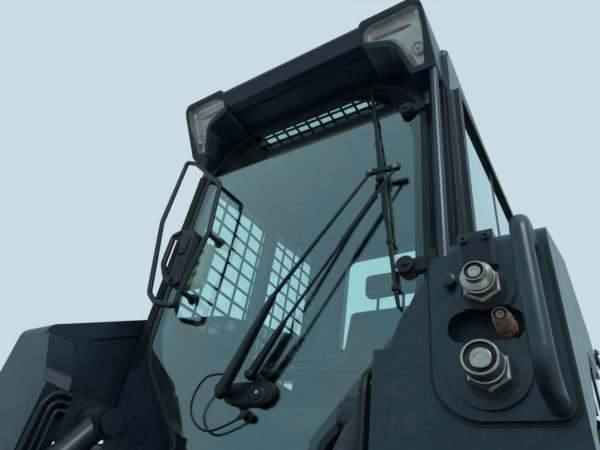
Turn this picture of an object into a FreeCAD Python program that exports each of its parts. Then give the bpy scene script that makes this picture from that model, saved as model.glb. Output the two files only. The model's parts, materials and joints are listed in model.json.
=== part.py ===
import FreeCAD, Part
import math
import os
from FreeCAD import Vector

# Skid steer loader, a radius-lift machine of the one-tonne class.
# Frame: X to the machine's left, Y to its rear, Z up, floor at Z 0. Sizes in mm.

# Clearances
TOUCH_GAP = 0.3
RUN_FIT = 0.05
MOVE_GAP = 6.0

# Wheels
TYRE_R = 420.0
TYRE_W = 305.0
RIM_R = 214.0
RIM_W = 236.0
TRACK_HALF = 762.0
LUG_PITCHES = 17
LUG_HEIGHT = 26.0
LUG_END = 138.0
LUG_REACH = 42.0
LUG_TAPER = 0.16
FRONT_AXLE_Y = -290.0
WHEELBASE = 1150.0
HUB_R = 70.0
STUB_R = 35.0

# Lower frame
CASE_IN = 430.0
CASE_OUT = 560.0
CASE_TOP = 640.0
BELLY_Z = 225.0
BELLY_T = 20.0
FRAME_FRONT = -600.0
FRAME_REAR = 1600.0
STEP_TOP = 470.0
STEP_DEPTH = 40.0
TIE_Y = 285.0
TIE_Z = 330.0
TIE_R = 20.0
TIE_DEPTH = 60.0

# Uprights that carry the lift arms
UPRIGHT_IN = 505.0
UPRIGHT_OUT = 545.0
PIVOT_Y = 1180.0
PIVOT_Z = 1640.0
PIVOT_PIN_R = 30.0
PIVOT_BOSS_R = 92.0
POST_OUT = 700.0
POST_TOP = 1180.0

# Cab
CAB_HALF = 520.0
CAB_WALL = 40.0
CAB_FRONT = -586.0
CAB_REAR = 370.0
CAB_BOTTOM = 660.0
CAB_TOP = 2030.0
ROOF_T = 35.0
FLOOR_Z = 470.0
SEAT_BOX_TOP = 880.0
GLASS_T = 6.0
MESH_PITCH_LONG = 86.0
MESH_PITCH_UP = 70.0
SKY_PITCH_X = 56.0
SKY_PITCH_Y = 43.0
MESH_BAR = 9.0
MESH_RIM = 14.0
MESH_DEPTH = 13.0

# Visor and lamp pods over the door
VISOR_FRONT = -792.0
VISOR_LIP = 50.0
POD_IN = 290.0
POD_OUT = 505.0
POD_BOTTOM = CAB_TOP - 192.0

# Door
DOOR_HALF = 452.0
DOOR_TOP = CAB_TOP - 64.0
DOOR_CORNER_R = 272.0
DOOR_BOTTOM = 700.0
DOOR_FOOT_HALF = 220.0
DOOR_FRAME_T = 8.0
DOOR_FRAME_W = 42.0
DOOR_ARCH_R = 380.0
HINGE_X = 464.0
HINGE_Y = -627.0
HINGE_ZS = (1128.0, CAB_TOP - 332.0)

# Lift arms
ARM_IN = 560.0
ARM_OUT = 700.0
LEG_IN = 437.0
LEG_FRONT = -862.0
LEG_BACK_INNER = -780.0
LEG_BACK = -742.0
KNEE_Z = 1022.0
COUPLER_HINGE_Y = -1000.0
COUPLER_HINGE_Z = 215.0
LEG_KNEE_Y = -960.0
LEG_KNEE_Z = 420.0
COUPLER_PIN_R = 22.0
FOOT_IN = 470.0
FOOT_OUT = 600.0
# x, z, radius, face's y, nut's half width across flats and seat's depth of each hose coupler
COUPLERS = ((609, 922, 22, -930, 24, 0), (630, 868, 13, -905, 13, 24), (606, 803, 23, -930, 25, 0))
PAD_T = 8.0
PAD_STEP = 6.0
PAD_IN = 530.0
PAD_LOW = 748.0
FRONT_TUBE_Y = -798.0
FRONT_TUBE_Z = 510.0
FRONT_TUBE_R = 50.0
REAR_TUBE_Y = 1010.0
REAR_TUBE_Z = 1600.0
REAR_TUBE_R = 45.0

# Lift cylinders: base pin on the upright, rod eye under the arm
LIFT_X = 630.0
LIFT_BASE = (1400.0, 780.0)
LIFT_EYE = (740.0, 1265.0)
LIFT_BARREL_R = 38.0
LIFT_ROD_R = 22.0
LIFT_EYE_W = 80.0
LIFT_GLAND_BACK = 80.0

# Tilt cylinders: base pin on the arm's leg, rod eye on the attachment frame
TILT_X = 370.0
TILT_BASE = (-720.0, 795.0)
TILT_EYE = (-1052.9, 333.8)
TILT_CLOSE = 100.0
TILT_BARREL_R = 34.0
TILT_ROD_R = 18.0
TILT_EYE_W = 72.0
TILT_GLAND_BACK = 96.0
CYL_PIN_R = 20.0
EYE_R = 38.5
ROD_EYE_R = 32.0
GLAND_STEP = 3.0
GLAND_LEN = 46.0
CLEVIS_T = 10.0
PIN_HEAD_R = 28.0
PIN_HEAD_T = 8.0

# Attachment frame and bucket
PLATE_BACK = -1130.0
PLATE_T = 20.0
PLATE_TOP = 560.0
PLATE_LOW = 130.0
BUCKET_HALF = 940.0
BUCKET_FRONT = -1815.0
BUCKET_BACK_TOP = 590.0
BUCKET_T = 12.0
EDGE_T = 20.0
EDGE_DEPTH = 175.0
FLOOR_GAP = 5.0

# Tailgate and rear screen lid
GATE_HALF = 535.0
GATE_REAR = 1815.0
GATE_LOW = 330.0
GATE_WALL = 25.0
GATE_PIN_X = 560.0
LID_FRONT = 400.0
LID_REAR = 955.0
LID_TOP = 1262.0
LID_T = 22.0
LID_HALF = 495.0

REAR_AXLE_Y = FRONT_AXLE_Y + WHEELBASE

os.makedirs("parts", exist_ok=True)


def rounded_face(points, place):
    """Face inside an outline; a point is (a, b) or (a, b, corner radius)."""
    flat = [Vector(p[0], p[1], 0) for p in points]
    starts, mids, ends = [], [], []
    for i, p in enumerate(flat):
        radius = points[i][2] if len(points[i]) > 2 else 0
        if not radius:
            starts.append(p)
            mids.append(None)
            ends.append(p)
            continue
        back = (flat[i - 1] - p).normalize()
        ahead = (flat[(i + 1) % len(flat)] - p).normalize()
        half = back.getAngle(ahead) / 2
        cut = radius / math.tan(half)
        inward = (back + ahead).normalize()
        starts.append(p + back * cut)
        ends.append(p + ahead * cut)
        mids.append(p + inward * (radius / math.sin(half) - radius))
    edges = []
    for i in range(len(flat)):
        if mids[i] is not None:
            edges.append(Part.Arc(place(starts[i]), place(mids[i]), place(ends[i])).toShape())
        nxt = starts[(i + 1) % len(flat)]
        if (ends[i] - nxt).Length > 1e-6:
            edges.append(Part.LineSegment(place(ends[i]), place(nxt)).toShape())
    return Part.Face(Part.Wire(edges))


def prism_x(points, x0, x1):
    """Outline in (y, z), from x0 to x1."""
    face = rounded_face(points, lambda p: Vector(x0, p.x, p.y))
    return face.extrude(Vector(x1 - x0, 0, 0))


def prism_y(points, y0, y1):
    """Outline in (x, z), from y0 to y1."""
    face = rounded_face(points, lambda p: Vector(p.x, y0, p.y))
    return face.extrude(Vector(0, y1 - y0, 0))


def prism_z(points, z0, z1):
    """Outline in (x, y), from z0 to z1."""
    face = rounded_face(points, lambda p: Vector(p.x, p.y, z0))
    return face.extrude(Vector(0, 0, z1 - z0))


def box(x0, x1, y0, y1, z0, z1):
    return Part.makeBox(x1 - x0, y1 - y0, z1 - z0, Vector(x0, y0, z0))


def rod(start, end, radius):
    """Round bar between two points."""
    a = Vector(*start)
    axis = Vector(*end) - a
    return Part.makeCylinder(radius, axis.Length, a, axis)


def pin_x(y, z, x0, x1, radius):
    return rod((x0, y, z), (x1, y, z), radius)


def bent_tube(points, radius, bend):
    """Round tube along straight runs joined by arcs."""
    pts = [Vector(*p) for p in points]
    edges = []
    last = pts[0]
    for i in range(1, len(pts) - 1):
        back = (pts[i - 1] - pts[i]).normalize()
        ahead = (pts[i + 1] - pts[i]).normalize()
        half = back.getAngle(ahead) / 2
        cut = bend / math.tan(half)
        start = pts[i] + back * cut
        end = pts[i] + ahead * cut
        middle = pts[i] + (back + ahead).normalize() * (bend / math.sin(half) - bend)
        edges.append(Part.LineSegment(last, start).toShape())
        edges.append(Part.Arc(start, middle, end).toShape())
        last = end
    edges.append(Part.LineSegment(last, pts[-1]).toShape())
    ring = Part.Wire([Part.makeCircle(radius, pts[0], pts[1] - pts[0])])
    return Part.Wire(edges).makePipeShell([ring], True, False)


def join(first, *others):
    shape = first
    for other in others:
        shape = shape.fuse(other)
    return shape.removeSplitter()


def less(first, *others):
    shape = first
    for other in others:
        shape = shape.cut(other)
    return shape


def mirrored(shape):
    return shape.mirror(Vector(0, 0, 0), Vector(1, 0, 0))


def save(name, *shapes):
    solids = [solid for shape in shapes for solid in shape.Solids]
    whole = solids[0] if len(solids) == 1 else Part.makeCompound(solids)
    if not whole.isValid():
        print("NOT VALID", name)
    print("%-24s %d solids %10.1f cm3" % (name, len(solids), whole.Volume / 1000))
    whole.exportStep("parts/%s.step" % name)


def save_pair(stem, left):
    save(stem + "_left", left)
    save(stem + "_right", mirrored(left))


# Wheels


def wheel_ring(profile, y):
    """Ring about the axle through y, from a profile in (x, radius)."""
    face = rounded_face(profile, lambda p: Vector(p.x, y, TYRE_R + p.y))
    return face.revolve(Vector(0, y, TYRE_R), Vector(1, 0, 0), 360)


def frustum(low, high):
    """Solid with flat sides between two like outlines, given corner by corner."""
    count = len(low)
    faces = [Part.Face(Part.makePolygon(ring + ring[:1])) for ring in (low, high)]
    for i in range(count):
        j = (i + 1) % count
        faces.append(Part.Face(Part.makePolygon([low[i], low[j], high[j], high[i], low[i]])))
    solid = Part.makeSolid(Part.makeShell(faces))
    if solid.Volume < 0:
        solid.reverse()
    return solid


def faceted_ring(profile, sides):
    """Ring of flat facets about the axle at y 0, from a profile in (x, radius)."""
    rings = []
    for i in range(sides):
        angle = 2 * math.pi * (i + 0.5) / sides
        rings.append([Vector(x, r * math.sin(angle), TYRE_R - r * math.cos(angle)) for x, r in profile])
    faces = []
    for i in range(sides):
        near, far = rings[i], rings[(i + 1) % sides]
        for j in range(len(profile)):
            k = (j + 1) % len(profile)
            faces.append(Part.Face(Part.makePolygon([near[j], near[k], far[k], far[j], near[j]])))
    ring = Part.makeSolid(Part.makeShell(faces))
    if ring.Volume < 0:
        ring.reverse()
    return ring


def make_lug(side, turn):
    """Tread lug from past the middle of the tyre to its shoulder, turned about the axle."""
    outline = ((-16, -LUG_REACH), (-16, 4), (LUG_END, LUG_REACH), (LUG_END, -10))
    mid_across = (LUG_END - 16) / 2
    top = math.sqrt(TYRE_R ** 2 - LUG_REACH ** 2)
    rings = []
    for radius, scale in ((TYRE_R - LUG_HEIGHT - 50, 1 + LUG_TAPER), (top, 1)):
        ring = []
        for across, along in outline:
            x = TRACK_HALF + side * (mid_across + (across - mid_across) * scale)
            ring.append(Vector(x, along * scale, TYRE_R - radius))
        rings.append(ring)
    lug = frustum(*rings)
    lug.rotate(Vector(0, 0, TYRE_R), Vector(1, 0, 0), turn)
    return lug


def make_tyre():
    """Tyre on the axle at y 0, its chunky lugs in two rows half a pitch apart."""
    mid = TRACK_HALF
    half = TYRE_W / 2
    bead = RIM_W / 2 - 8
    sides = 2 * LUG_PITCHES
    bore = (RIM_R + TOUCH_GAP) / math.cos(math.pi / sides)
    tread = TYRE_R - LUG_HEIGHT
    profile = [
        (mid - bead, bore), (mid - half, bore + 95), (mid - half + 20, tread),
        (mid + half - 20, tread), (mid + half, bore + 95), (mid + bead, bore),
    ]
    pitch = 360 / LUG_PITCHES
    lugs = []
    for i in range(LUG_PITCHES):
        lugs.append(make_lug(1, i * pitch))
        lugs.append(make_lug(-1, (i + 0.5) * pitch))
    tyre = faceted_ring(profile, sides).fuse(lugs).removeSplitter()
    to_lowest_corner = math.degrees(math.asin(LUG_REACH / TYRE_R))
    return tyre.rotate(Vector(0, 0, TYRE_R), Vector(1, 0, 0), to_lowest_corner)


def make_rim(y):
    mid = TRACK_HALF
    lip = RIM_W / 2 + TOUCH_GAP
    disc_in = mid - 30
    disc_out = mid - 18
    bore = STUB_R + RUN_FIT
    profile = [
        (mid - lip - 8, RIM_R + 16), (mid - lip, RIM_R + 16), (mid - lip, RIM_R),
        (mid + lip, RIM_R), (mid + lip, RIM_R + 16), (mid + lip + 8, RIM_R + 16),
        (mid + lip + 8, RIM_R - 8), (disc_out + 62, RIM_R - 12), (disc_out, RIM_R - 62), (disc_out, HUB_R),
        (disc_out + 22, HUB_R - 12), (disc_out + 22, bore), (disc_in - 20, bore),
        (disc_in - 20, HUB_R), (disc_in, HUB_R + 10), (disc_in, RIM_R - 56),
        (disc_in + 56, RIM_R - 12), (mid - lip - 8, RIM_R - 8),
    ]
    return wheel_ring(profile, y)


AXLES = (("front", FRONT_AXLE_Y), ("rear", REAR_AXLE_Y))
tyre = make_tyre()
for end, axle_y in AXLES:
    save_pair("tyre_" + end, tyre.translated(Vector(0, axle_y, 0)))
    save_pair("rim_" + end, make_rim(axle_y))

# Lower frame

belly = box(-CASE_IN, CASE_IN, FRAME_FRONT, FRAME_REAR, BELLY_Z, BELLY_Z + BELLY_T)
front_panel = box(-CASE_OUT, CASE_OUT, FRAME_FRONT - 20, FRAME_FRONT, BELLY_Z, STEP_TOP)
step_outline = [
    (-CASE_IN, FRAME_FRONT), (-CASE_IN, FRAME_FRONT - 20 - STEP_DEPTH, 30),
    (CASE_IN, FRAME_FRONT - 20 - STEP_DEPTH, 30), (CASE_IN, FRAME_FRONT),
]
step = prism_z(step_outline, STEP_TOP - 12, STEP_TOP)
TREAD_SLOTS = 9
for i in range(TREAD_SLOTS):
    slot_x = (i - (TREAD_SLOTS - 1) / 2) * 86
    step = step.cut(box(slot_x - 28, slot_x + 28, FRAME_FRONT - 46, FRAME_FRONT - 30, STEP_TOP - 13, STEP_TOP + 1))
rear_sill = box(-CASE_IN, CASE_IN, FRAME_REAR - 60, FRAME_REAR, BELLY_Z + BELLY_T, GATE_LOW)
save("belly_frame", join(belly, front_panel, step, rear_sill))

case_outline = [
    (FRAME_FRONT, BELLY_Z), (FRAME_REAR, BELLY_Z), (FRAME_REAR, CASE_TOP, 30),
    (FRAME_FRONT, CASE_TOP, 60),
]
chaincase = prism_x(case_outline, CASE_IN, CASE_OUT)
save_pair("chaincase", chaincase.cut(pin_x(TIE_Y, TIE_Z, CASE_OUT - TIE_DEPTH, CASE_OUT, TIE_R)))

pucks = []
for mount_y in (CAB_FRONT + 120, CAB_REAR - 60):
    puck = rod((CASE_IN + 62, mount_y, CASE_TOP), (CASE_IN + 62, mount_y, CAB_BOTTOM), 24)
    pucks += [puck, mirrored(puck)]
save("cab_mounts", *pucks)

housings = []
for end, axle_y in AXLES:
    flange = pin_x(axle_y, TYRE_R, CASE_OUT, CASE_OUT + 18, 95)
    trumpet = pin_x(axle_y, TYRE_R, CASE_OUT + 18, TRACK_HALF - 56, 58)
    stub = pin_x(axle_y, TYRE_R, TRACK_HALF - 56, TRACK_HALF - 2, STUB_R)
    housing = join(flange, trumpet, stub)
    housings += [housing, mirrored(housing)]
save("axle_housings", *housings)

ENGINE_HALF = 300.0
engine_outline = [(640, 245), (1380, 245), (1380, 820, 40), (1240, 940, 30), (760, 940, 30), (640, 820)]
save("engine_block", prism_x(engine_outline, -ENGINE_HALF, ENGINE_HALF))


# Uprights with rear posts


def make_upright():
    plate_outline = [
        (CAB_REAR + 15, CASE_TOP), (CAB_REAR + 15, LID_TOP + 10, 20), (960, LID_TOP + 10, 60),
        (PIVOT_Y - 100, PIVOT_Z - 130, 60), (PIVOT_Y - PIVOT_BOSS_R, PIVOT_Z + PIVOT_BOSS_R, 80),
        (PIVOT_Y + PIVOT_BOSS_R, PIVOT_Z + PIVOT_BOSS_R, 80), (1350, 1330, 60),
        (FRAME_REAR + 40, POST_TOP, 40), (FRAME_REAR + 40, CASE_TOP),
    ]
    plate = prism_x(plate_outline, UPRIGHT_IN, UPRIGHT_OUT)
    post_outline = [
        (UPRIGHT_OUT, FRAME_REAR - 130), (POST_OUT, FRAME_REAR - 130, 12),
        (POST_OUT, FRAME_REAR + 40, 25), (UPRIGHT_OUT, FRAME_REAR + 40),
    ]
    post = prism_z(post_outline, CASE_TOP - 200, POST_TOP - 20)
    post = post.cut(box(CASE_IN, CASE_OUT, 0, FRAME_REAR, 0, CASE_TOP))
    lower = box(CASE_OUT, POST_OUT - 20, FRAME_REAR - 130, FRAME_REAR, 300, CASE_TOP - 200)
    lamp_x0 = UPRIGHT_OUT + 35
    lamp = prism_y(
        [(lamp_x0, LAMP_Z0, 12), (lamp_x0, LAMP_Z1, 12), (lamp_x0 + 90, LAMP_Z1, 12), (lamp_x0 + 90, LAMP_Z0, 12)],
        FRAME_REAR + 15, FRAME_REAR + 60)
    base_y, base_z = LIFT_BASE
    outer = prism_x(
        [(base_y - 55, base_z + 55, 50), (base_y - 55, base_z - 55, 50),
         (FRAME_REAR - 100, base_z - 110), (FRAME_REAR - 100, base_z + 110)],
        POST_OUT - 18, POST_OUT)
    inner_boss = pin_x(base_y, base_z, UPRIGHT_OUT, LIFT_X - LIFT_EYE_W / 2 - MOVE_GAP, 48)
    outer_boss = pin_x(base_y, base_z, LIFT_X + LIFT_EYE_W / 2 + MOVE_GAP, POST_OUT - 18, 40)
    base_pin = pin_x(base_y, base_z, UPRIGHT_OUT, POST_OUT + 8, CYL_PIN_R)
    pivot_boss = pin_x(PIVOT_Y, PIVOT_Z, UPRIGHT_IN - 12, ARM_IN - 4, PIVOT_BOSS_R - 30)
    pivot_pin = pin_x(PIVOT_Y, PIVOT_Z, UPRIGHT_IN, ARM_OUT + 4, PIVOT_PIN_R)
    pivot_cap = pin_x(PIVOT_Y, PIVOT_Z, ARM_OUT + 4, ARM_OUT + 16, 50)
    solid = join(plate, post, outer, inner_boss, outer_boss, base_pin, pivot_boss, pivot_pin, pivot_cap)
    return join(less(solid, lamp), lower)


LAMP_Z0 = 900.0
LAMP_Z1 = 1110.0
save_pair("upright", make_upright())

lens_x0 = UPRIGHT_OUT + 35 + TOUCH_GAP
tail_lens = prism_y(
    [(lens_x0, LAMP_Z0 + TOUCH_GAP, 12), (lens_x0, LAMP_Z1 - TOUCH_GAP, 12),
     (lens_x0 + 89.4, LAMP_Z1 - TOUCH_GAP, 12), (lens_x0 + 89.4, LAMP_Z0 + TOUCH_GAP, 12)],
    FRAME_REAR + 15, FRAME_REAR + 38)
save("tail_lamps", tail_lens, mirrored(tail_lens))

hood_outline = [
    (LID_REAR + 10, LID_TOP - LID_T), (LID_REAR + 10, LID_TOP), (1440, LID_TOP, 80),
    (FRAME_REAR + 30, POST_TOP + 10), (FRAME_REAR + 30, POST_TOP - 12), (1440, LID_TOP - LID_T, 60),
]
save("rear_hood", prism_x(hood_outline, -UPRIGHT_IN, UPRIGHT_IN))

# Cab shell

WINDOW_LOW = CAB_TOP - 830.0
WINDOW_FRONT = -520.0
WINDOW_POST_Y = -100.0
WINDOW_POST_W = 34.0
WINDOW_REAR = 305.0
WINDOW_TOP_FRONT = CAB_TOP - 230.0
WINDOW_TOP_REAR = CAB_TOP - 100.0
SIDE_GLASS_EDGE = 45.0


def window_top(y):
    """Height of the window's sloping top edge at y."""
    share = (y - WINDOW_FRONT) / (WINDOW_REAR - WINDOW_FRONT)
    return WINDOW_TOP_FRONT + share * (WINDOW_TOP_REAR - WINDOW_TOP_FRONT)


def window_outline(y0, y1):
    corner = 40
    return [
        (y0, WINDOW_LOW, corner), (y0, window_top(y0), corner),
        (y1, window_top(y1), corner), (y1, WINDOW_LOW, corner),
    ]


wall_in = CAB_HALF - CAB_WALL
side_outline = [
    (CAB_FRONT, CAB_BOTTOM), (CAB_FRONT, CAB_TOP - ROOF_T), (CAB_REAR, CAB_TOP - ROOF_T), (CAB_REAR, CAB_BOTTOM),
]
side = prism_x(side_outline, wall_in, CAB_HALF)
WINDOWS = (
    (WINDOW_FRONT, WINDOW_POST_Y - WINDOW_POST_W / 2), (WINDOW_POST_Y + WINDOW_POST_W / 2, WINDOW_REAR),
)
for y0, y1 in WINDOWS:
    side = side.cut(prism_x(window_outline(y0, y1), wall_in - 1, CAB_HALF + 1))
save_pair("cab_side", side)

edge = SIDE_GLASS_EDGE
glass_outline = [
    (WINDOW_FRONT - edge, WINDOW_LOW - edge, 30), (WINDOW_FRONT - edge, window_top(WINDOW_FRONT) + edge, 30),
    (WINDOW_REAR + edge, window_top(WINDOW_REAR) + edge, 30), (WINDOW_REAR + edge, WINDOW_LOW - edge, 90),
]
side_glass = prism_x(glass_outline, CAB_HALF, CAB_HALF + GLASS_T)
save("side_glass", side_glass, mirrored(side_glass))


def mesh_panel(prism, outline, near, pitch_a, pitch_b):
    """Welded wire screen in a flat rim, its two layers of bars one behind the other."""
    far = near + MESH_DEPTH
    middle = (near + far) / 2
    whole = prism(outline, near, far)
    a_all = [p[0] for p in outline]
    b_all = [p[1] for p in outline]
    a0, a1, b0, b1 = min(a_all), max(a_all), min(b_all), max(b_all)
    half = MESH_BAR / 2
    inner_face = rounded_face(outline, lambda p: Vector(p.x, p.y, 0)).makeOffset2D(-MESH_RIM)
    inner = [(v.X, v.Y) for v in inner_face.OuterWire.OrderedVertexes]
    screen = whole.cut(prism(inner, near - 1, far + 1))
    columns = int((a1 - a0) / pitch_a)
    rows = int((b1 - b0) / pitch_b)
    for i in range(1, columns + 1):
        a = a0 + (a1 - a0) * i / (columns + 1)
        bar = prism([(a - half, b0), (a + half, b0), (a + half, b1), (a - half, b1)], near, middle - 0.5)
        screen = screen.fuse(bar.common(whole))
    for i in range(1, rows + 1):
        b = b0 + (b1 - b0) * i / (rows + 1)
        bar = prism([(a0, b - half), (a1, b - half), (a1, b + half), (a0, b + half)], middle + 0.5, far)
        screen = screen.fuse(bar.common(whole))
    return screen.removeSplitter()


roof_outline = [
    (-CAB_HALF, CAB_FRONT, 20), (-CAB_HALF, CAB_REAR, 50), (CAB_HALF, CAB_REAR, 50), (CAB_HALF, CAB_FRONT, 20),
]
SKYLIGHT_HALF = 300.0
SKYLIGHT_FRONT = -562.0
SKYLIGHT_REAR = -478.0
roof = prism_z(roof_outline, CAB_TOP - ROOF_T, CAB_TOP)
sky_outline = [
    (-SKYLIGHT_HALF, SKYLIGHT_FRONT, 30), (-SKYLIGHT_HALF, SKYLIGHT_REAR, 30),
    (SKYLIGHT_HALF, SKYLIGHT_REAR, 30), (SKYLIGHT_HALF, SKYLIGHT_FRONT, 30),
]
roof = roof.cut(prism_z(sky_outline, CAB_TOP - ROOF_T - 1, CAB_TOP + 1))
save("cab_roof", roof)
save("roof_glass", prism_z(
    [(-SKYLIGHT_HALF - 20, SKYLIGHT_FRONT - 20, 30), (-SKYLIGHT_HALF - 20, SKYLIGHT_REAR + 20, 30),
     (SKYLIGHT_HALF + 20, SKYLIGHT_REAR + 20, 30), (SKYLIGHT_HALF + 20, SKYLIGHT_FRONT - 20, 30)],
    CAB_TOP, CAB_TOP + 5))

screens = []
for y0, y1 in WINDOWS:
    reach = MESH_RIM - 2
    low = WINDOW_LOW - reach
    panel_outline = [
        (y0 - reach, low), (y0 - reach, window_top(y0) + reach),
        (y1 + reach, window_top(y1) + reach), (y1 + reach, low),
    ]
    screens.append(mesh_panel(prism_x, panel_outline, wall_in - MESH_DEPTH, MESH_PITCH_LONG, MESH_PITCH_UP))
screens += [mirrored(screen) for screen in screens]
sky_reach = 12.0
screens.append(mesh_panel(
    prism_z,
    [(-SKYLIGHT_HALF - sky_reach, SKYLIGHT_FRONT), (-SKYLIGHT_HALF - sky_reach, SKYLIGHT_REAR + sky_reach),
     (SKYLIGHT_HALF + sky_reach, SKYLIGHT_REAR + sky_reach), (SKYLIGHT_HALF + sky_reach, SKYLIGHT_FRONT)],
    CAB_TOP - ROOF_T - MESH_DEPTH, SKY_PITCH_X, SKY_PITCH_Y))
save("cab_screens", *screens)

REAR_WIN_HALF = 310.0
REAR_WIN_TOP = CAB_TOP - 95.0
REAR_WIN_LOW = REAR_WIN_TOP - 515.0
rear_wall = box(-wall_in, wall_in, CAB_REAR - CAB_WALL, CAB_REAR, CAB_BOTTOM, CAB_TOP - ROOF_T)
rear_opening = [
    (-REAR_WIN_HALF, REAR_WIN_LOW, 40), (-REAR_WIN_HALF, REAR_WIN_TOP, 40),
    (REAR_WIN_HALF, REAR_WIN_TOP, 40), (REAR_WIN_HALF, REAR_WIN_LOW, 40),
]
rear_wall = rear_wall.cut(prism_y(rear_opening, CAB_REAR - CAB_WALL - 1, CAB_REAR + 1))
save("rear_glass", prism_y(
    [(-REAR_WIN_HALF - 25, REAR_WIN_LOW - 25, 50), (-REAR_WIN_HALF - 25, REAR_WIN_TOP + 25, 50),
     (REAR_WIN_HALF + 25, REAR_WIN_TOP + 25, 50), (REAR_WIN_HALF + 25, REAR_WIN_LOW - 25, 50)],
    CAB_REAR, CAB_REAR + GLASS_T))


def door_outline(grow):
    """Shield shape of the door, in (x, z), grown on every side."""
    half = DOOR_HALF + grow
    foot = DOOR_FOOT_HALF + grow
    return [
        (-foot, DOOR_BOTTOM - grow, 15), (foot, DOOR_BOTTOM - grow, 15), (foot, 777, 25),
        (half - 42, 975 - grow, 60), (half, 1062 - grow, 60), (half, DOOR_TOP + grow, DOOR_CORNER_R + grow),
        (-half, DOOR_TOP + grow, DOOR_CORNER_R + grow), (-half, 1062 - grow, 60),
        (-half + 42, 975 - grow, 60), (-foot, 777, 25),
    ]


FRONT_DEPTH = 40.0
lip = 14.0
opening = prism_y(door_outline(-lip), CAB_FRONT - 1, CAB_FRONT + FRONT_DEPTH + 1)
header_relief = box(
    -SKYLIGHT_HALF - 12, SKYLIGHT_HALF + 12, CAB_FRONT + 12, CAB_FRONT + FRONT_DEPTH + 1,
    DOOR_TOP - 60, CAB_TOP - ROOF_T)
front_frame = prism_y(
    [(-wall_in, CAB_BOTTOM), (wall_in, CAB_BOTTOM), (wall_in, CAB_TOP - ROOF_T), (-wall_in, CAB_TOP - ROOF_T)],
    CAB_FRONT, CAB_FRONT + FRONT_DEPTH)
foot_panel = box(-CASE_IN, CASE_IN, CAB_FRONT, CAB_FRONT + FRONT_DEPTH, STEP_TOP, CAB_BOTTOM)
front_frame = less(join(front_frame, foot_panel), opening, header_relief)
knuckles = []
for hinge_z in HINGE_ZS:
    arm = box(HINGE_X, HINGE_X + 14, HINGE_Y, CAB_FRONT, hinge_z, hinge_z + 22)
    eye = rod((HINGE_X, HINGE_Y, hinge_z), (HINGE_X, HINGE_Y, hinge_z + 22), 14)
    hinge_pin = rod((HINGE_X, HINGE_Y, hinge_z), (HINGE_X, HINGE_Y, hinge_z + 60), 6)
    knuckles += [arm, eye, hinge_pin]
RAIL_R = 12.5
rail = bent_tube(
    [(490, -648, POD_BOTTOM - TOUCH_GAP), (490, -648, 1010), (490, CAB_FRONT - 2, 1000)], RAIL_R, 35)
pillar = box(wall_in, CAB_HALF, CAB_FRONT - 4, CAB_FRONT, 980, POD_BOTTOM - 20)
# The header sits on the lower frame with a joint across both posts
HEADER_Z = CAB_TOP - 260.0
HEADER_JOINT = 0.4
joint_y = (CAB_FRONT - 1, CAB_FRONT + FRONT_DEPTH + 1)
above = box(-CAB_HALF, CAB_HALF, *joint_y, HEADER_Z - HEADER_JOINT, CAB_TOP)
below = box(-CAB_HALF, CAB_HALF, *joint_y, STEP_TOP - 1, HEADER_Z)
save("cab_front_frame", join(front_frame.cut(above), *knuckles), front_frame.cut(below))
save("front_rail", join(rail, pillar))

floor_outline = [
    (CAB_FRONT + FRONT_DEPTH, FLOOR_Z), (0, FLOOR_Z), (0, SEAT_BOX_TOP - 40, 30), (20, SEAT_BOX_TOP, 20),
    (CAB_REAR - CAB_WALL, SEAT_BOX_TOP), (CAB_REAR - CAB_WALL, SEAT_BOX_TOP - 14), (40, SEAT_BOX_TOP - 14),
    (14, SEAT_BOX_TOP - 46), (14, FLOOR_Z - 14), (CAB_FRONT + FRONT_DEPTH, FLOOR_Z - 14),
]
cab_floor = prism_x(floor_outline, -CASE_IN + 2, CASE_IN - 2)
save("cab_floor", cab_floor)

# Visor with its two lamp pods

FACE_TOP = (VISOR_FRONT + 2, CAB_TOP - 16)
FACE_LOW = (-665.0, POD_BOTTOM)
visor_profile = [
    (CAB_FRONT, CAB_TOP), (VISOR_FRONT + 12, CAB_TOP), (VISOR_FRONT, CAB_TOP - 10, 6),
    (VISOR_FRONT, CAB_TOP - VISOR_LIP, 10), (VISOR_FRONT + 30, CAB_TOP - VISOR_LIP - 6, 10),
    (-625, CAB_TOP - VISOR_LIP, 10), (CAB_FRONT, CAB_TOP - VISOR_LIP + 8),
]
visor = prism_x(visor_profile, -POD_IN - 20, POD_IN + 20)
pod_profile = [
    (CAB_FRONT, CAB_TOP), (VISOR_FRONT + 14, CAB_TOP, 5), (FACE_TOP[0], FACE_TOP[1], 8),
    (FACE_LOW[0], FACE_LOW[1], 10), (CAB_FRONT, FACE_LOW[1]),
]
pod_outline = [
    (POD_IN, CAB_TOP), (POD_OUT, CAB_TOP), (POD_OUT, POD_BOTTOM, 14), (425, POD_BOTTOM, 14),
    (392, 1928, 60), (POD_IN, 1955, 20),
]
lens_outline = [
    (302, 1968, 8), (302, 1996, 12), (335, 2010, 14), (490, 2012, 14), (490, 1940, 60),
    (472, 1852, 10), (438, 1852, 10), (402, 1944, 70),
]


def face_slab(near, far):
    """Slab under the pods' slanted front face, between two depths."""
    along = Vector(FACE_LOW[0] - FACE_TOP[0], FACE_LOW[1] - FACE_TOP[1], 0).normalize()
    inward = Vector(-along.y, along.x, 0)
    top = Vector(FACE_TOP[0], FACE_TOP[1], 0) - along * 60
    low = Vector(FACE_LOW[0], FACE_LOW[1], 0) + along * 60
    corners = [top + inward * near, low + inward * near, low + inward * far, top + inward * far]
    return prism_x([(c.x, c.y) for c in corners], POD_IN - 20, POD_OUT + 20)


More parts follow.
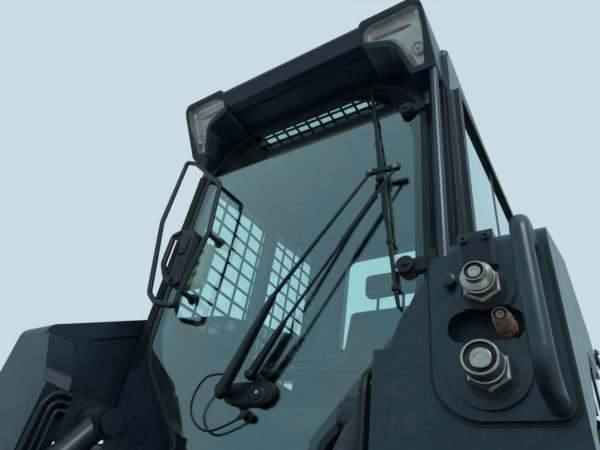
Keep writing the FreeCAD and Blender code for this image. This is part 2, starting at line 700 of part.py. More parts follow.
LAMP_DEPTH = 48.0
pod = prism_x(pod_profile, POD_IN, POD_OUT).common(prism_y(pod_outline, VISOR_FRONT - 10, CAB_FRONT))
lamp_hole = prism_y(lens_outline, VISOR_FRONT - 40, CAB_FRONT).common(face_slab(-10, LAMP_DEPTH))
save("visor", less(join(visor, pod, mirrored(pod)), lamp_hole, mirrored(lamp_hole)))
lens_face = rounded_face(lens_outline, lambda p: Vector(p.x, VISOR_FRONT - 40, p.y))
lens_face = lens_face.makeOffset2D(-TOUCH_GAP)
lens = lens_face.extrude(Vector(0, CAB_FRONT - VISOR_FRONT + 40, 0)).common(face_slab(2, 7))
save("headlamp_lenses", lens, mirrored(lens))

# Seat, levers and seat bar in the cab

SEAT_HALF = 240.0
cushion = prism_x(
    [(-260, SEAT_BOX_TOP, 20), (-260, SEAT_BOX_TOP + 110, 45), (150, SEAT_BOX_TOP + 90, 20), (170, SEAT_BOX_TOP)],
    -SEAT_HALF, SEAT_HALF)
back = prism_x(
    [(80, SEAT_BOX_TOP + 90, 20), (150, 1560, 45), (240, 1560, 30), (215, SEAT_BOX_TOP, 10), (120, SEAT_BOX_TOP)],
    -SEAT_HALF + 15, SEAT_HALF - 15)
headrest = prism_x([(170, 1585, 25), (180, 1725, 30), (250, 1725, 25), (240, 1585, 20)], -130, 130)
stalks = [rod((x, 205, 1540), (x, 212, 1600), 8) for x in (-60, 60)]
save("seat", join(cushion, back, headrest, *stalks))

LEVER_X = 370.0
levers = []
for sign in (-1, 1):
    x = sign * LEVER_X
    console = box(x - 55, x + 55, -330, -40, SEAT_BOX_TOP - 60, SEAT_BOX_TOP + 60)
    leg = box(x - 40, x + 40, -300, -240, FLOOR_Z, SEAT_BOX_TOP - 60)
    stick = rod((x, -270, SEAT_BOX_TOP + 50), (x, -300, SEAT_BOX_TOP + 210), 11)
    knob = rod((x, -296, SEAT_BOX_TOP + 190), (x, -312, SEAT_BOX_TOP + 275), 24)
    levers.append(join(console, leg, stick, knob))
save("control_consoles", *levers)

BAR_PIVOT = (140.0, 1290.0)
BAR_TUBE_R = 16.0
BAR_HALF = 290.0
bar_tube = bent_tube(
    [(BAR_HALF, BAR_PIVOT[0], BAR_PIVOT[1]), (BAR_HALF, -40, 1230), (BAR_HALF, -250, 1085),
     (-BAR_HALF, -250, 1085), (-BAR_HALF, -40, 1230), (-BAR_HALF, BAR_PIVOT[0], BAR_PIVOT[1])],
    BAR_TUBE_R, 60)
bar_eyes = [
    pin_x(BAR_PIVOT[0], BAR_PIVOT[1], sign * BAR_HALF - 25, sign * BAR_HALF + 25, 26) for sign in (-1, 1)]
bar_bores = [
    pin_x(BAR_PIVOT[0], BAR_PIVOT[1], sign * BAR_HALF - 30, sign * BAR_HALF + 30, 12 + RUN_FIT) for sign in (-1, 1)]
save("seat_bar", less(join(bar_tube, *bar_eyes), *bar_bores))
bracket_outline = [
    (CAB_REAR - CAB_WALL, BAR_PIVOT[1] - 60), (CAB_REAR - CAB_WALL, BAR_PIVOT[1] + 60),
    (BAR_PIVOT[0] - 28, BAR_PIVOT[1] + 28, 27), (BAR_PIVOT[0] - 28, BAR_PIVOT[1] - 28, 27),
]
bracket_x = BAR_HALF + 25 + MOVE_GAP
bracket = prism_x(bracket_outline, bracket_x, bracket_x + 10)
bar_pin = pin_x(BAR_PIVOT[0], BAR_PIVOT[1], BAR_HALF - 28, bracket_x, 12)
bar_bracket = join(bracket, bar_pin)
save("cab_rear_wall", join(rear_wall, bar_bracket, mirrored(bar_bracket)))

# Door

door_y0 = CAB_FRONT - MOVE_GAP - DOOR_FRAME_T
door_y1 = CAB_FRONT - MOVE_GAP
arch_half = DOOR_HALF - DOOR_FRAME_W
arch_foot = DOOR_FOOT_HALF - DOOR_FRAME_W
door_arch = [
    (-arch_foot, DOOR_BOTTOM + DOOR_FRAME_W, 15), (arch_foot, DOOR_BOTTOM + DOOR_FRAME_W, 15), (arch_foot, 790, 25),
    (arch_half - DOOR_FRAME_W, 1017, 60), (arch_half, 1104, 60), (arch_half, DOOR_TOP - 12, DOOR_ARCH_R),
    (-arch_half, DOOR_TOP - 12, DOOR_ARCH_R), (-arch_half, 1104, 60), (-arch_half + DOOR_FRAME_W, 1017, 60),
    (-arch_foot, 790, 25),
]
door_frame = prism_y(door_outline(0), door_y0, door_y1).cut(prism_y(door_arch, door_y0 - 1, door_y1 + 1))
save("door_frame", door_frame)
GLASS_OUT = door_y0 - GLASS_T
door_glass = prism_y(door_outline(-3), GLASS_OUT, door_y0)
save("door_glass", door_glass)
hinge_parts = []
for hinge_z in HINGE_ZS:
    low = hinge_z + 23
    high = hinge_z + 58
    strap = box(375, HINGE_X, GLASS_OUT - 10, GLASS_OUT, low, high)
    neck = box(HINGE_X - 13, HINGE_X + 13, HINGE_Y, GLASS_OUT, low, high)
    eye = rod((HINGE_X, HINGE_Y, low), (HINGE_X, HINGE_Y, high), 14)
    disc = rod((392, GLASS_OUT - 10, (low + high) / 2), (392, GLASS_OUT - 20, (low + high) / 2), 22)
    bore = rod((HINGE_X, HINGE_Y, low - 1), (HINGE_X, HINGE_Y, high + 1), 6 + RUN_FIT)
    hinge_parts.append(less(join(strap, eye, disc), bore))
save("door_hinges", *hinge_parts)

GRAB_Y = GLASS_OUT - 28
housing = prism_y(
    [(-375, 1250), (-375, 1455), (-388, 1475), (-478, 1492, 10), (-484, 1462), (-436, 1432),
     (-436, 1285), (-425, 1258)],
    GLASS_OUT - 30, GLASS_OUT)
grab = bent_tube(
    [(-450, GRAB_Y, 1476), (-486, GRAB_Y, 1468), (-486, GRAB_Y, 1350), (-450, GRAB_Y, 1292),
     (-410, GRAB_Y, 1268)], 10, 18)
save("door_handle", join(housing, grab))

LOOP_Y = -668.0
LOOP_R = 9.0
loop = bent_tube(
    [(-306, GLASS_OUT, 1195), (-306, LOOP_Y, 1195), (-309, LOOP_Y, 1142), (-401, LOOP_Y, 1167),
     (-451, LOOP_Y, 1210), (-538, LOOP_Y, 1525), (-533, LOOP_Y, 1838), (-470, LOOP_Y, 1806),
     (-286, LOOP_Y, 1628), (-262, LOOP_Y, 1400), (-262, GLASS_OUT, 1400)], LOOP_R, 16)
inner_leg = rod((-306, LOOP_Y, 1180), (-263, LOOP_Y, 1410), LOOP_R - 0.5)
save("door_loop", join(loop, inner_leg))

WIPER_OFF = 30.0


def tapered_bar(start, end, start_size, end_size):
    """Bar of oblong section between two places; sizes are width across X and depth along Y."""
    rings = []
    for (x, y, z), (wide, deep) in ((start, start_size), (end, end_size)):
        corners = ((-1, -1), (1, -1), (1, 1), (-1, 1))
        rings.append([Vector(x + i * wide / 2, y + j * deep / 2, z) for i, j in corners])
    return frustum(*rings)


wiper_y = GLASS_OUT - WIPER_OFF
base_plate = prism_y(
    [(-42, 860, 24), (-42, 912, 24), (74, 920, 26), (74, 866, 26)], GLASS_OUT - 14, GLASS_OUT)
main_pivot = rod((-52, GLASS_OUT, 890), (-52, GLASS_OUT - 58, 890), 17)
pivot_foot = box(-60, -30, GLASS_OUT - 14, GLASS_OUT, 874, 906)
second_pivot = rod((16, GLASS_OUT, 925), (16, GLASS_OUT - 46, 925), 11)
nuts = [rod((x, GLASS_OUT, z), (x, GLASS_OUT - 24, z), 8) for x, z in ((20, 884), (52, 890))]
main_arm = join(
    tapered_bar((-52, GLASS_OUT - 46, 885), (62, GLASS_OUT - 62, 1118), (27, 20), (19, 16)),
    tapered_bar((62, GLASS_OUT - 62, 1118), (293, wiper_y, 1489), (19, 16), (10, 10)))
second_arm = join(
    rod((16, GLASS_OUT - 36, 921), (98, GLASS_OUT - 44, 1050), 8),
    rod((98, GLASS_OUT - 44, 1050), (370, wiper_y, 1482), 4))
link = prism_y([(284, 1478, 8), (286, 1500, 8), (382, 1490, 8), (380, 1468, 8)], wiper_y - 6, wiper_y + 6)
link_nuts = [rod((x, wiper_y - 12, z), (x, wiper_y, z), 8) for x, z in ((294, 1489), (370, 1480))]
blade_hub = box(313, 333, wiper_y, GLASS_OUT - 6, 1458, 1494)
spine = tapered_bar((269, GLASS_OUT - 12, 1900), (375, GLASS_OUT - 12, 1060), (12, 12), (12, 12))
rubber = tapered_bar((269, GLASS_OUT - 4, 1896), (375, GLASS_OUT - 4, 1064), (5, 7), (5, 7))
nozzle = rod((8, GLASS_OUT, 839), (8, GLASS_OUT - 22, 839), 10)
washer_hose = bent_tube(
    [(8, GLASS_OUT - 16, 839), (-84, GLASS_OUT - 16, 797), (-166, GLASS_OUT - 22, 850), (-132, GLASS_OUT - 34, 930),
     (-38, GLASS_OUT - 46, 938)], 3, 30)
save("wiper", join(
    base_plate, main_pivot, pivot_foot, second_pivot, *nuts, main_arm, second_arm, link, *link_nuts, blade_hub,
    spine, rubber, nozzle, washer_hose))

# Lift arms


BEAM_LOW_REAR = (1120.0, 1545.0)
BEAM_LOW_FRONT = (-150.0, 1130.0)
BEAM_CROTCH = (-560.0, 852.0, 120.0)
LEG_CROTCH_Z = 770.0


def beam_underside(y):
    """Height of the beam's lower edge at y."""
    slope = (BEAM_LOW_REAR[1] - BEAM_LOW_FRONT[1]) / (BEAM_LOW_REAR[0] - BEAM_LOW_FRONT[0])
    return BEAM_LOW_FRONT[1] + slope * (y - BEAM_LOW_FRONT[0])


GUSSET_FRONT = -792.0
HOSE_SHELF_Z = 612.0
HOSE_X = 421.0


def make_arm():
    beam = prism_x(
        [(LEG_FRONT, KNEE_Z, 35), (-200, 1375, 300), (1100, 1738, 60), (1275, 1738, 85),
         (1275, 1545, 85), (BEAM_LOW_REAR[0], BEAM_LOW_REAR[1], 60),
         (BEAM_LOW_FRONT[0], BEAM_LOW_FRONT[1], 150), BEAM_CROTCH, (LEG_BACK, LEG_CROTCH_Z, 40),
         (LEG_BACK, 600), (LEG_FRONT, 600)],
        ARM_IN, ARM_OUT)
    plate = prism_y(
        [(ARM_OUT, 600), (ARM_OUT, KNEE_Z - 30), (560, KNEE_Z - 30), (545, 1000, 12),
         (477, 897, 60), (LEG_IN, 765, 150), (LEG_IN, 600)],
        LEG_FRONT, LEG_BACK_INNER)
    hinge_y, hinge_z = COUPLER_HINGE_Y, COUPLER_HINGE_Z
    leg = prism_x(
        [(LEG_FRONT, 600), (LEG_KNEE_Y, LEG_KNEE_Z, 12), (-900, LEG_KNEE_Z + 10), (LEG_BACK, 455, 30),
         (LEG_BACK, 600)],
        LEG_IN, ARM_OUT)
    foot = prism_x(
        [(-870, 500), (LEG_KNEE_Y + 10, LEG_KNEE_Z + 30), (-1060, 265, 20), (-1060, 155, 56),
         (-940, 155, 56), (-800, 480)],
        FOOT_IN, FOOT_OUT)
    base_y, base_z = TILT_BASE
    gusset = prism_x(
        [(LEG_FRONT, base_z - 60), (LEG_FRONT, base_z + 60), (base_y + 50, base_z + 50, 48),
         (base_y + 50, base_z - 50, 48)],
        LEG_IN - 19, LEG_IN + 30)
    gusset = gusset.cut(box(LEG_IN - 30, LEG_IN, LEG_FRONT - 1, GUSSET_FRONT, base_z - 70, base_z + 70))
    shelf = box(HOSE_X - 14, LEG_IN, LEG_FRONT, -800, HOSE_SHELF_Z - 12, HOSE_SHELF_Z)
    head_x = TILT_X - TILT_EYE_W / 2 - MOVE_GAP
    pin = pin_x(base_y, base_z, head_x, LEG_IN, CYL_PIN_R)
    head = pin_x(base_y, base_z, head_x - PIN_HEAD_T, head_x, PIN_HEAD_R)
    eye_y, eye_z = LIFT_EYE
    ears = []
    for side in (-1, 1):
        near = LIFT_X + side * (LIFT_EYE_W / 2 + MOVE_GAP)
        far = near + side * CLEVIS_T
        ears.append(prism_x(
            [(eye_y + 60, eye_z - 44, 42), (eye_y - 60, eye_z - 44, 42),
             (eye_y - 110, beam_underside(eye_y - 110) + 30), (eye_y + 150, beam_underside(eye_y + 150) + 30)],
            min(near, far), max(near, far)))
        ears.append(pin_x(eye_y, eye_z, far, far + side * PIN_HEAD_T, PIN_HEAD_R))
    relief = prism_x(
        [(-738, 1030, 20), (-542, 1136), (-200, 1318, 260), (1000, 1660), (1000, 1590), (-150, 1175, 150),
         (-700, 960, 40)],
        ARM_IN - 1, ARM_IN + 6)
    inner_hole = pin_x(-793, 960, ARM_IN - 1, ARM_IN + 20, 9)
    arm = less(join(beam, plate, leg, foot, gusset, shelf, pin, head, *ears), relief, inner_hole)
    pivot_bore = pin_x(PIVOT_Y, PIVOT_Z, ARM_IN - 1, ARM_OUT + 1, PIVOT_PIN_R + RUN_FIT)
    hinge_bore = pin_x(hinge_y, hinge_z, FOOT_IN - 1, FOOT_OUT + 1, COUPLER_PIN_R + RUN_FIT)
    return less(arm, pivot_bore, hinge_bore)


def make_coupler_pad():
    """Raised pad with bosses under the hose couplers, on the left leg's face."""
    face = LEG_FRONT - PAD_T
    pad = prism_y(
        [(PAD_IN, 996, 20), (692, 996, 12), (692, PAD_LOW, 20), (PAD_IN, PAD_LOW, 62)], face, LEG_FRONT + 2)
    shapes = [pad]
    for x, z, grow in ((COUPLERS[0][0], COUPLERS[0][1], 18), (COUPLERS[2][0] - 3, COUPLERS[2][1] + 8, 30)):
        shapes.append(rod((x, face - PAD_STEP, z), (x, LEG_FRONT, z), COUPLERS[0][2] + grow))
    shapes.append(box(580, 632, face - 16, LEG_FRONT, 956, 1018))
    return shapes


def pill_recess():
    """Slot with round ends round the drain coupler."""
    x, z = COUPLERS[1][0], COUPLERS[1][1] + 3
    half = 25.0
    ends = [(553, z + half), (x + half, z + half), (x + half, z - half), (553, z - half)]
    return prism_y([(a, b, half - 0.1) for a, b in ends], LEG_FRONT - 40, LEG_FRONT - PAD_T + COUPLERS[1][5])


arm = make_arm()
knob = rod((562, LEG_FRONT - PAD_T - 12, 943), (562, LEG_FRONT, 943), 9)
save("arm_left", less(join(arm, *make_coupler_pad(), knob), pill_recess()))
save("arm_right", mirrored(arm))
front_tube = pin_x(FRONT_TUBE_Y, FRONT_TUBE_Z, -LEG_IN, LEG_IN, FRONT_TUBE_R)
rear_tube = pin_x(REAR_TUBE_Y, REAR_TUBE_Z, -ARM_IN, ARM_IN, REAR_TUBE_R)
save("arm_cross_tubes", front_tube, rear_tube)

NUT_LONG = 20.0
couplers = []
for x, z, radius, face_y, nut_half, seat in COUPLERS:
    seat_y = LEG_FRONT - PAD_T + seat if seat else LEG_FRONT - PAD_T - PAD_STEP
    nut_r = nut_half / math.cos(math.pi / 6)
    turns = [math.radians(a) for a in range(0, 360, 60)]
    corners = [(x + nut_r * math.cos(turn), z + nut_r * math.sin(turn)) for turn in turns]
    nut = prism_y(corners, seat_y - NUT_LONG, seat_y)
    neck = rod((x, seat_y, z), (x, face_y + 5, z), radius - 4)
    sleeve = rod((x, seat_y - NUT_LONG - 4, z), (x, face_y, z), radius)
    socket = rod((x, face_y, z), (x, face_y + 5, z), radius - 6)
    poppet = rod((x, face_y + 1, z), (x, seat_y, z), radius - 9)
    couplers.append(join(nut, neck, sleeve).cut(socket).fuse(poppet))
save("hose_couplers", *couplers)
GUARD_X = 675.0
GUARD_R = 12.5
guard = bent_tube(
    [(GUARD_X, LEG_FRONT - PAD_T, 985), (GUARD_X, -950, 985), (GUARD_X, -950, 764), (GUARD_X, LEG_FRONT - PAD_T, 764)],
    GUARD_R, 35)
save("coupler_guard", guard)

# Tilt hoses beside each tilt cylinder, one nested in the other

HOSE_R = 7.0
HOSE_PITCH = 19.0
# height of the crown and bend radius of each hose
TILT_HOSES = ((838, 46), (838 - HOSE_PITCH, 30), (838 - 2 * HOSE_PITCH, 14))
hoses = []
for i, (crown, bend) in enumerate(TILT_HOSES):
    y = LEG_FRONT + HOSE_R + i * HOSE_PITCH
    hose = bent_tube([(HOSE_X, GUSSET_FRONT, crown), (HOSE_X, y, crown), (HOSE_X, y, HOSE_SHELF_Z)], HOSE_R, bend)
    hoses += [hose, mirrored(hose)]
save("tilt_hoses", *hoses)

# Cylinders


def cylinder_pair(x, base, eye, barrel_r, rod_r, eye_r, eye_w, gland_back, close):
    """Barrel and rod on the line from base to eye, in the plane of x."""
    a = Vector(x, base[0], base[1])
    b = Vector(x, eye[0], eye[1])
    way = (b - a).normalize()
    length = (b - a).Length
    gland = length - gland_back
    barrel = Part.makeCylinder(barrel_r, gland - 12, a + way * 12, way)
    head = Part.makeCylinder(barrel_r + GLAND_STEP, GLAND_LEN, a + way * (gland - GLAND_LEN), way)
    base_eye = pin_x(base[0], base[1], x - eye_w / 2, x + eye_w / 2, EYE_R)
    bore = Part.makeCylinder(rod_r + RUN_FIT, gland, a + way * (EYE_R + 8), way)
    pin_bore = pin_x(base[0], base[1], x - eye_w, x + eye_w, CYL_PIN_R + RUN_FIT)
    body = less(join(barrel, head, base_eye), bore, pin_bore)
    start = EYE_R + 8 + close + 6
    ram = Part.makeCylinder(rod_r, length - start, a + way * start, way)
    rod_eye = pin_x(eye[0], eye[1], x - eye_w / 2 + 2, x + eye_w / 2 - 2, eye_r)
    eye_bore = pin_x(eye[0], eye[1], x - eye_w, x + eye_w, CYL_PIN_R - 4)
    return body, less(join(ram, rod_eye), eye_bore)


lift_barrel, lift_rod = cylinder_pair(
    LIFT_X, LIFT_BASE, LIFT_EYE, LIFT_BARREL_R, LIFT_ROD_R, ROD_EYE_R, LIFT_EYE_W, LIFT_GLAND_BACK, 0)
save_pair("lift_barrel", lift_barrel)
save_pair("lift_rod", lift_rod)
tilt_barrel, tilt_rod = cylinder_pair(
    TILT_X, TILT_BASE, TILT_EYE, TILT_BARREL_R, TILT_ROD_R, ROD_EYE_R, TILT_EYE_W, TILT_GLAND_BACK, TILT_CLOSE)
save_pair("tilt_barrel", tilt_barrel)
save_pair("tilt_rod", tilt_rod)

# Attachment frame and bucket

attach_half = 620.0
plates = []
for sign in (-1, 1):
    outline = [
        (sign * 300, PLATE_LOW), (sign * attach_half, PLATE_LOW), (sign * attach_half, 470, 30),
        (sign * 560, PLATE_TOP), (sign * 340, PLATE_TOP), (sign * 300, 470, 30),
    ]
    plates.append(prism_y(outline, PLATE_BACK - PLATE_T, PLATE_BACK))
top_bar = box(-attach_half + 60, attach_half - 60, PLATE_BACK - PLATE_T, PLATE_BACK + 26, PLATE_TOP - 50, PLATE_TOP)
low_bar = box(-attach_half + 20, attach_half - 20, PLATE_BACK - PLATE_T, PLATE_BACK + 22, PLATE_LOW, PLATE_LOW + 36)
ears = []
for sign in (-1, 1):
    for near, far in ((FOOT_IN - MOVE_GAP - 22, FOOT_IN - MOVE_GAP), (FOOT_OUT + MOVE_GAP, FOOT_OUT + MOVE_GAP + 14)):
        x0, x1 = sorted((sign * near, sign * far))
        ears.append(prism_x(
            [(PLATE_BACK, 140), (PLATE_BACK, 330), (COUPLER_HINGE_Y + 48, COUPLER_HINGE_Z + 48, 46),
             (COUPLER_HINGE_Y + 48, COUPLER_HINGE_Z - 48, 46)],
            x0, x1))
    x0, x1 = sorted((sign * (FOOT_IN - MOVE_GAP - 26), sign * (FOOT_OUT + MOVE_GAP + 18)))
    ears.append(pin_x(COUPLER_HINGE_Y, COUPLER_HINGE_Z, x0, x1, COUPLER_PIN_R))
    for near in (TILT_X - TILT_EYE_W / 2 - MOVE_GAP - 12, TILT_X + TILT_EYE_W / 2 + MOVE_GAP):
        x0, x1 = sorted((sign * near, sign * (near + 12)))
        ears.append(prism_x(
            [(PLATE_BACK, TILT_EYE[1] - 90), (PLATE_BACK, TILT_EYE[1] + 90),
             (TILT_EYE[0] + 42, TILT_EYE[1] + 42, 36), (TILT_EYE[0] + 42, TILT_EYE[1] - 42, 36)],
            x0, x1))
levers = []
for sign in (-1, 1):
    pivot = rod((sign * 440, PLATE_BACK, 470), (sign * 440, PLATE_BACK + 20, 470), 26)
    grip_x0, grip_x1 = sorted((sign * 440, sign * 575))
    grip = box(grip_x0, grip_x1, PLATE_BACK, PLATE_BACK + 14, 458, 482)
    wedge_x0, wedge_x1 = sorted((sign * 425, sign * 455))
    wedge = box(wedge_x0, wedge_x1, PLATE_BACK, PLATE_BACK + 16, 190, 470)
    levers += [pivot, grip, wedge]
attach = join(plates[0], plates[1], top_bar, low_bar, *ears, *levers)
save("attachment_frame", attach)

bucket_back = PLATE_BACK - PLATE_T - TOUCH_GAP
low = FLOOR_GAP
sheet_outline = [
    (bucket_back, BUCKET_BACK_TOP), (bucket_back, low, 120), (BUCKET_FRONT + EDGE_DEPTH, low),
    (BUCKET_FRONT + EDGE_DEPTH, low + BUCKET_T), (bucket_back - BUCKET_T, low + BUCKET_T, 108),
    (bucket_back - BUCKET_T, BUCKET_BACK_TOP - 12), (bucket_back - 62, BUCKET_BACK_TOP - 12),
    (bucket_back - 62, BUCKET_BACK_TOP),
]
sheet = prism_x(sheet_outline, -BUCKET_HALF, BUCKET_HALF)
cheek_outline = [
    (bucket_back, BUCKET_BACK_TOP), (bucket_back, low, 120), (BUCKET_FRONT + EDGE_DEPTH, low),
    (BUCKET_FRONT + EDGE_DEPTH, low + EDGE_T), (BUCKET_FRONT + 40, low + EDGE_T),
    (BUCKET_FRONT + 60, 120, 40), (-1420, 330, 200), (bucket_back - 70, BUCKET_BACK_TOP, 30),
]
cheek = prism_x(cheek_outline, BUCKET_HALF - BUCKET_T, BUCKET_HALF)
cutter = prism_x(
    [(BUCKET_FRONT + 46, low + EDGE_T + 4), (BUCKET_FRONT + 66, 124, 40), (-1424, 336, 200), (-1300, 440),
     (-1270, 400), (-1390, 290, 200), (BUCKET_FRONT + 130, 90, 40), (BUCKET_FRONT + 110, low + EDGE_T + 4)],
    BUCKET_HALF - BUCKET_T - 8, BUCKET_HALF - BUCKET_T)
save("bucket", join(sheet, cheek, mirrored(cheek), cutter, mirrored(cutter)))
edge_outline = [
    (BUCKET_FRONT, low), (BUCKET_FRONT + EDGE_DEPTH, low), (BUCKET_FRONT + EDGE_DEPTH, low + EDGE_T),
    (BUCKET_FRONT + 40, low + EDGE_T),
]
save("cutting_edge", prism_x(edge_outline, -BUCKET_HALF, BUCKET_HALF))

# Tailgate and rear screen lid

gate_front = FRAME_REAR + 46
gate_outline = [
    (-GATE_HALF, gate_front), (-GATE_HALF, GATE_REAR, 60), (GATE_HALF, GATE_REAR, 60), (GATE_HALF, gate_front),
]
gate = prism_z(gate_outline, GATE_LOW, POST_TOP - 20)
gate_inside = prism_z(
    [(-GATE_HALF + GATE_WALL, gate_front - 1), (-GATE_HALF + GATE_WALL, GATE_REAR - GATE_WALL, 40),
     (GATE_HALF - GATE_WALL, GATE_REAR - GATE_WALL, 40), (GATE_HALF - GATE_WALL, gate_front - 1)],
    GATE_LOW + GATE_WALL, POST_TOP - 20 - GATE_WALL)
gate = gate.cut(gate_inside)
LOUVRE_HALF = 330.0
LOUVRE_LOW = 620.0
LOUVRE_PITCH = 46.0
LOUVRE_COUNT = 9
LOUVRE_DEPTH = 12.0
LOUVRE_RISE = 26.0
LOUVRE_LIP = 4.0
louvre_top = LOUVRE_LOW + LOUVRE_COUNT * LOUVRE_PITCH
gate = gate.cut(box(-LOUVRE_HALF, LOUVRE_HALF, GATE_REAR - LOUVRE_DEPTH, GATE_REAR + 1, LOUVRE_LOW, louvre_top))
for i in range(LOUVRE_COUNT):
    foot = LOUVRE_LOW + (i + 0.25) * LOUVRE_PITCH
    slat = [
        (GATE_REAR - LOUVRE_DEPTH, foot + LOUVRE_RISE), (GATE_REAR, foot + LOUVRE_LIP),
        (GATE_REAR, foot), (GATE_REAR - LOUVRE_DEPTH, foot)]
    gate = gate.fuse(prism_x(slat, -LOUVRE_HALF, LOUVRE_HALF))
LATCH_HALF = 70.0
LATCH_Z = (520.0, 570.0)
latch_recess = box(-LATCH_HALF, LATCH_HALF, GATE_REAR - LOUVRE_DEPTH, GATE_REAR + 1, LATCH_Z[0], LATCH_Z[1])
latch = box(
    20 - LATCH_HALF, LATCH_HALF - 20, GATE_REAR - LOUVRE_DEPTH, GATE_REAR - 3, LATCH_Z[1] - 22, LATCH_Z[1] - 8)
gate = gate.cut(latch_recess).fuse(latch)
gate_pin_y = gate_front + 22
GATE_HINGE_ZS = (450.0, 1000.0)
frame_knuckles = []
for z in GATE_HINGE_ZS:
    eye = rod((GATE_PIN_X, gate_pin_y, z + 31), (GATE_PIN_X, gate_pin_y, z + 70), 15)
    strap = box(GATE_HALF - 10, GATE_PIN_X, gate_pin_y - 8, gate_pin_y + 8, z + 31, z + 70)
    gate = gate.fuse(strap).fuse(eye)
    gate = gate.cut(rod((GATE_PIN_X, gate_pin_y, z), (GATE_PIN_X, gate_pin_y, z + 80), 8 + RUN_FIT))
    arm = box(GATE_PIN_X - 8, GATE_PIN_X + 8, FRAME_REAR + 40, gate_pin_y, z, z + 30)
    eye = rod((GATE_PIN_X, gate_pin_y, z), (GATE_PIN_X, gate_pin_y, z + 30), 15)
    gate_pin = rod((GATE_PIN_X, gate_pin_y, z), (GATE_PIN_X, gate_pin_y, z + 72), 8)
    frame_knuckles.append(join(arm, eye, gate_pin))
save("tailgate", gate.removeSplitter())

LID_PIN = (LID_FRONT + 8, LID_TOP + 10.0)
lid = box(-LID_HALF, LID_HALF, LID_FRONT, LID_REAR, LID_TOP - LID_T, LID_TOP)
LID_SLOT_PITCH = 38.0
LID_SLOT_START = 70.0
LID_SLOTS = 12
LID_SLOT_W = 16.0
LID_SLOT_DEPTH = 9.0
LID_SLOT_IN = 40.0
LID_SLOT_OUT = 430.0
for i in range(LID_SLOTS):
    slot_y = LID_FRONT + LID_SLOT_START + i * LID_SLOT_PITCH
    for sign in (-1, 1):
        x0, x1 = sorted((sign * LID_SLOT_IN, sign * LID_SLOT_OUT))
        lid = lid.cut(box(x0, x1, slot_y, slot_y + LID_SLOT_W, LID_TOP - LID_SLOT_DEPTH, LID_TOP + 1))
LID_EYE = (340.0, 400.0)
lid_eye = pin_x(LID_PIN[0], LID_PIN[1], LID_EYE[0], LID_EYE[1], 14)
lid_bore = pin_x(LID_PIN[0], LID_PIN[1], LID_EYE[0] - 1, LID_EYE[1] + 1, 6 + RUN_FIT)
lid_pin = pin_x(LID_PIN[0], LID_PIN[1], LID_EYE[0] - 2, UPRIGHT_IN, 6)
save("screen_lid", less(join(lid, lid_eye, mirrored(lid_eye)), lid_bore, mirrored(lid_bore)))
save("rear_hinge_pins", lid_pin, mirrored(lid_pin), *frame_knuckles)
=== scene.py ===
import json
import math

import bpy
from mathutils import Matrix, Vector


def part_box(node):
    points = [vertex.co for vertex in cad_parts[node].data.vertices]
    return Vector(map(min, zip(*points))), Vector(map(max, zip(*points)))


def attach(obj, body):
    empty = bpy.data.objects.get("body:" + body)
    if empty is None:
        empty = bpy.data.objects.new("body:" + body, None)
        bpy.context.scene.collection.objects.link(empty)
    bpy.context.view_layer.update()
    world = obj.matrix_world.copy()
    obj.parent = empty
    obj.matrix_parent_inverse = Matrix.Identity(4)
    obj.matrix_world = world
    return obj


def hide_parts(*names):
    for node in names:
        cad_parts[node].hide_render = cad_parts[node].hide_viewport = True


# Skid steer loader seen from inside its bucket, looking up at the cab door.
# Metres. X to the machine's left, Y to its rear, Z up, floor at Z 0.

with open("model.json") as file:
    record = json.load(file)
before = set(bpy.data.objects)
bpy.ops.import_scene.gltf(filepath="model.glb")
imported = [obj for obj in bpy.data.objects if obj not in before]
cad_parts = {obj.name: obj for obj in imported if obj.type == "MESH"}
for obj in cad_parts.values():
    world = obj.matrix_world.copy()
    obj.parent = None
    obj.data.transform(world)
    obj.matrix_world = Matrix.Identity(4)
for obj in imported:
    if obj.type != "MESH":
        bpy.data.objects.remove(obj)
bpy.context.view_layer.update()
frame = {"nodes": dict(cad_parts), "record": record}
NODES = frame["nodes"]

# Camera
IMAGE_WIDTH = 600
FOCAL_PIXELS = 454.64
CAMERA_AT = (0.7256, -1.4654, 0.5747)
CAMERA_HEADING = 37.922
CAMERA_PITCH = 36.831
CAMERA_ROLL = -10.250

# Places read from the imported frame
DOOR_LOW, DOOR_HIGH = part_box("door_glass")
GLASS_FACE = DOOR_LOW.y
SEAT_LOW, SEAT_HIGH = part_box("seat")
EDGE_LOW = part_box("cutting_edge")[0]
VISOR_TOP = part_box("visor")[1].z
ROOF_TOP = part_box("cab_roof")[1].z

FRONT = (0, -1, 0)
UP = (0, 0, 1)
DOWN = (0, 0, -1)
SIDES = (("left", 1), ("right", -1))


# Modelling helpers


def clear_selection():
    if bpy.context.object and bpy.context.object.mode != "OBJECT":
        bpy.ops.object.mode_set(mode="OBJECT")
    bpy.ops.object.select_all(action="DESELECT")


def pick(*objects):
    """Selects these objects alone, the first one active."""
    clear_selection()
    for obj in objects:
        obj.select_set(True)
    bpy.context.view_layer.objects.active = objects[0]


def apply_place(obj):
    pick(obj)
    bpy.ops.object.transform_apply(location=True, rotation=True, scale=True)


def smooth(obj, angle):
    pick(obj)
    bpy.ops.object.shade_smooth_by_angle(angle=math.radians(angle))


def edit_all():
    """Opens the active piece in edit mode with all of it selected."""
    bpy.ops.object.mode_set(mode="EDIT")
    bpy.ops.mesh.select_all(action="SELECT")


def extrude(move):
    bpy.ops.mesh.extrude_region_move(TRANSFORM_OT_translate={"value": move})


def close_up(bevel=0, segments=2):
    """Turns the open piece's faces outwards, rounds its edges and leaves edit mode."""
    bpy.ops.mesh.select_all(action="SELECT")
    bpy.ops.mesh.normals_make_consistent(inside=False)
    if bevel:
        bpy.ops.mesh.bevel(offset=bevel, segments=segments, affect="EDGES")
    bpy.ops.object.mode_set(mode="OBJECT")


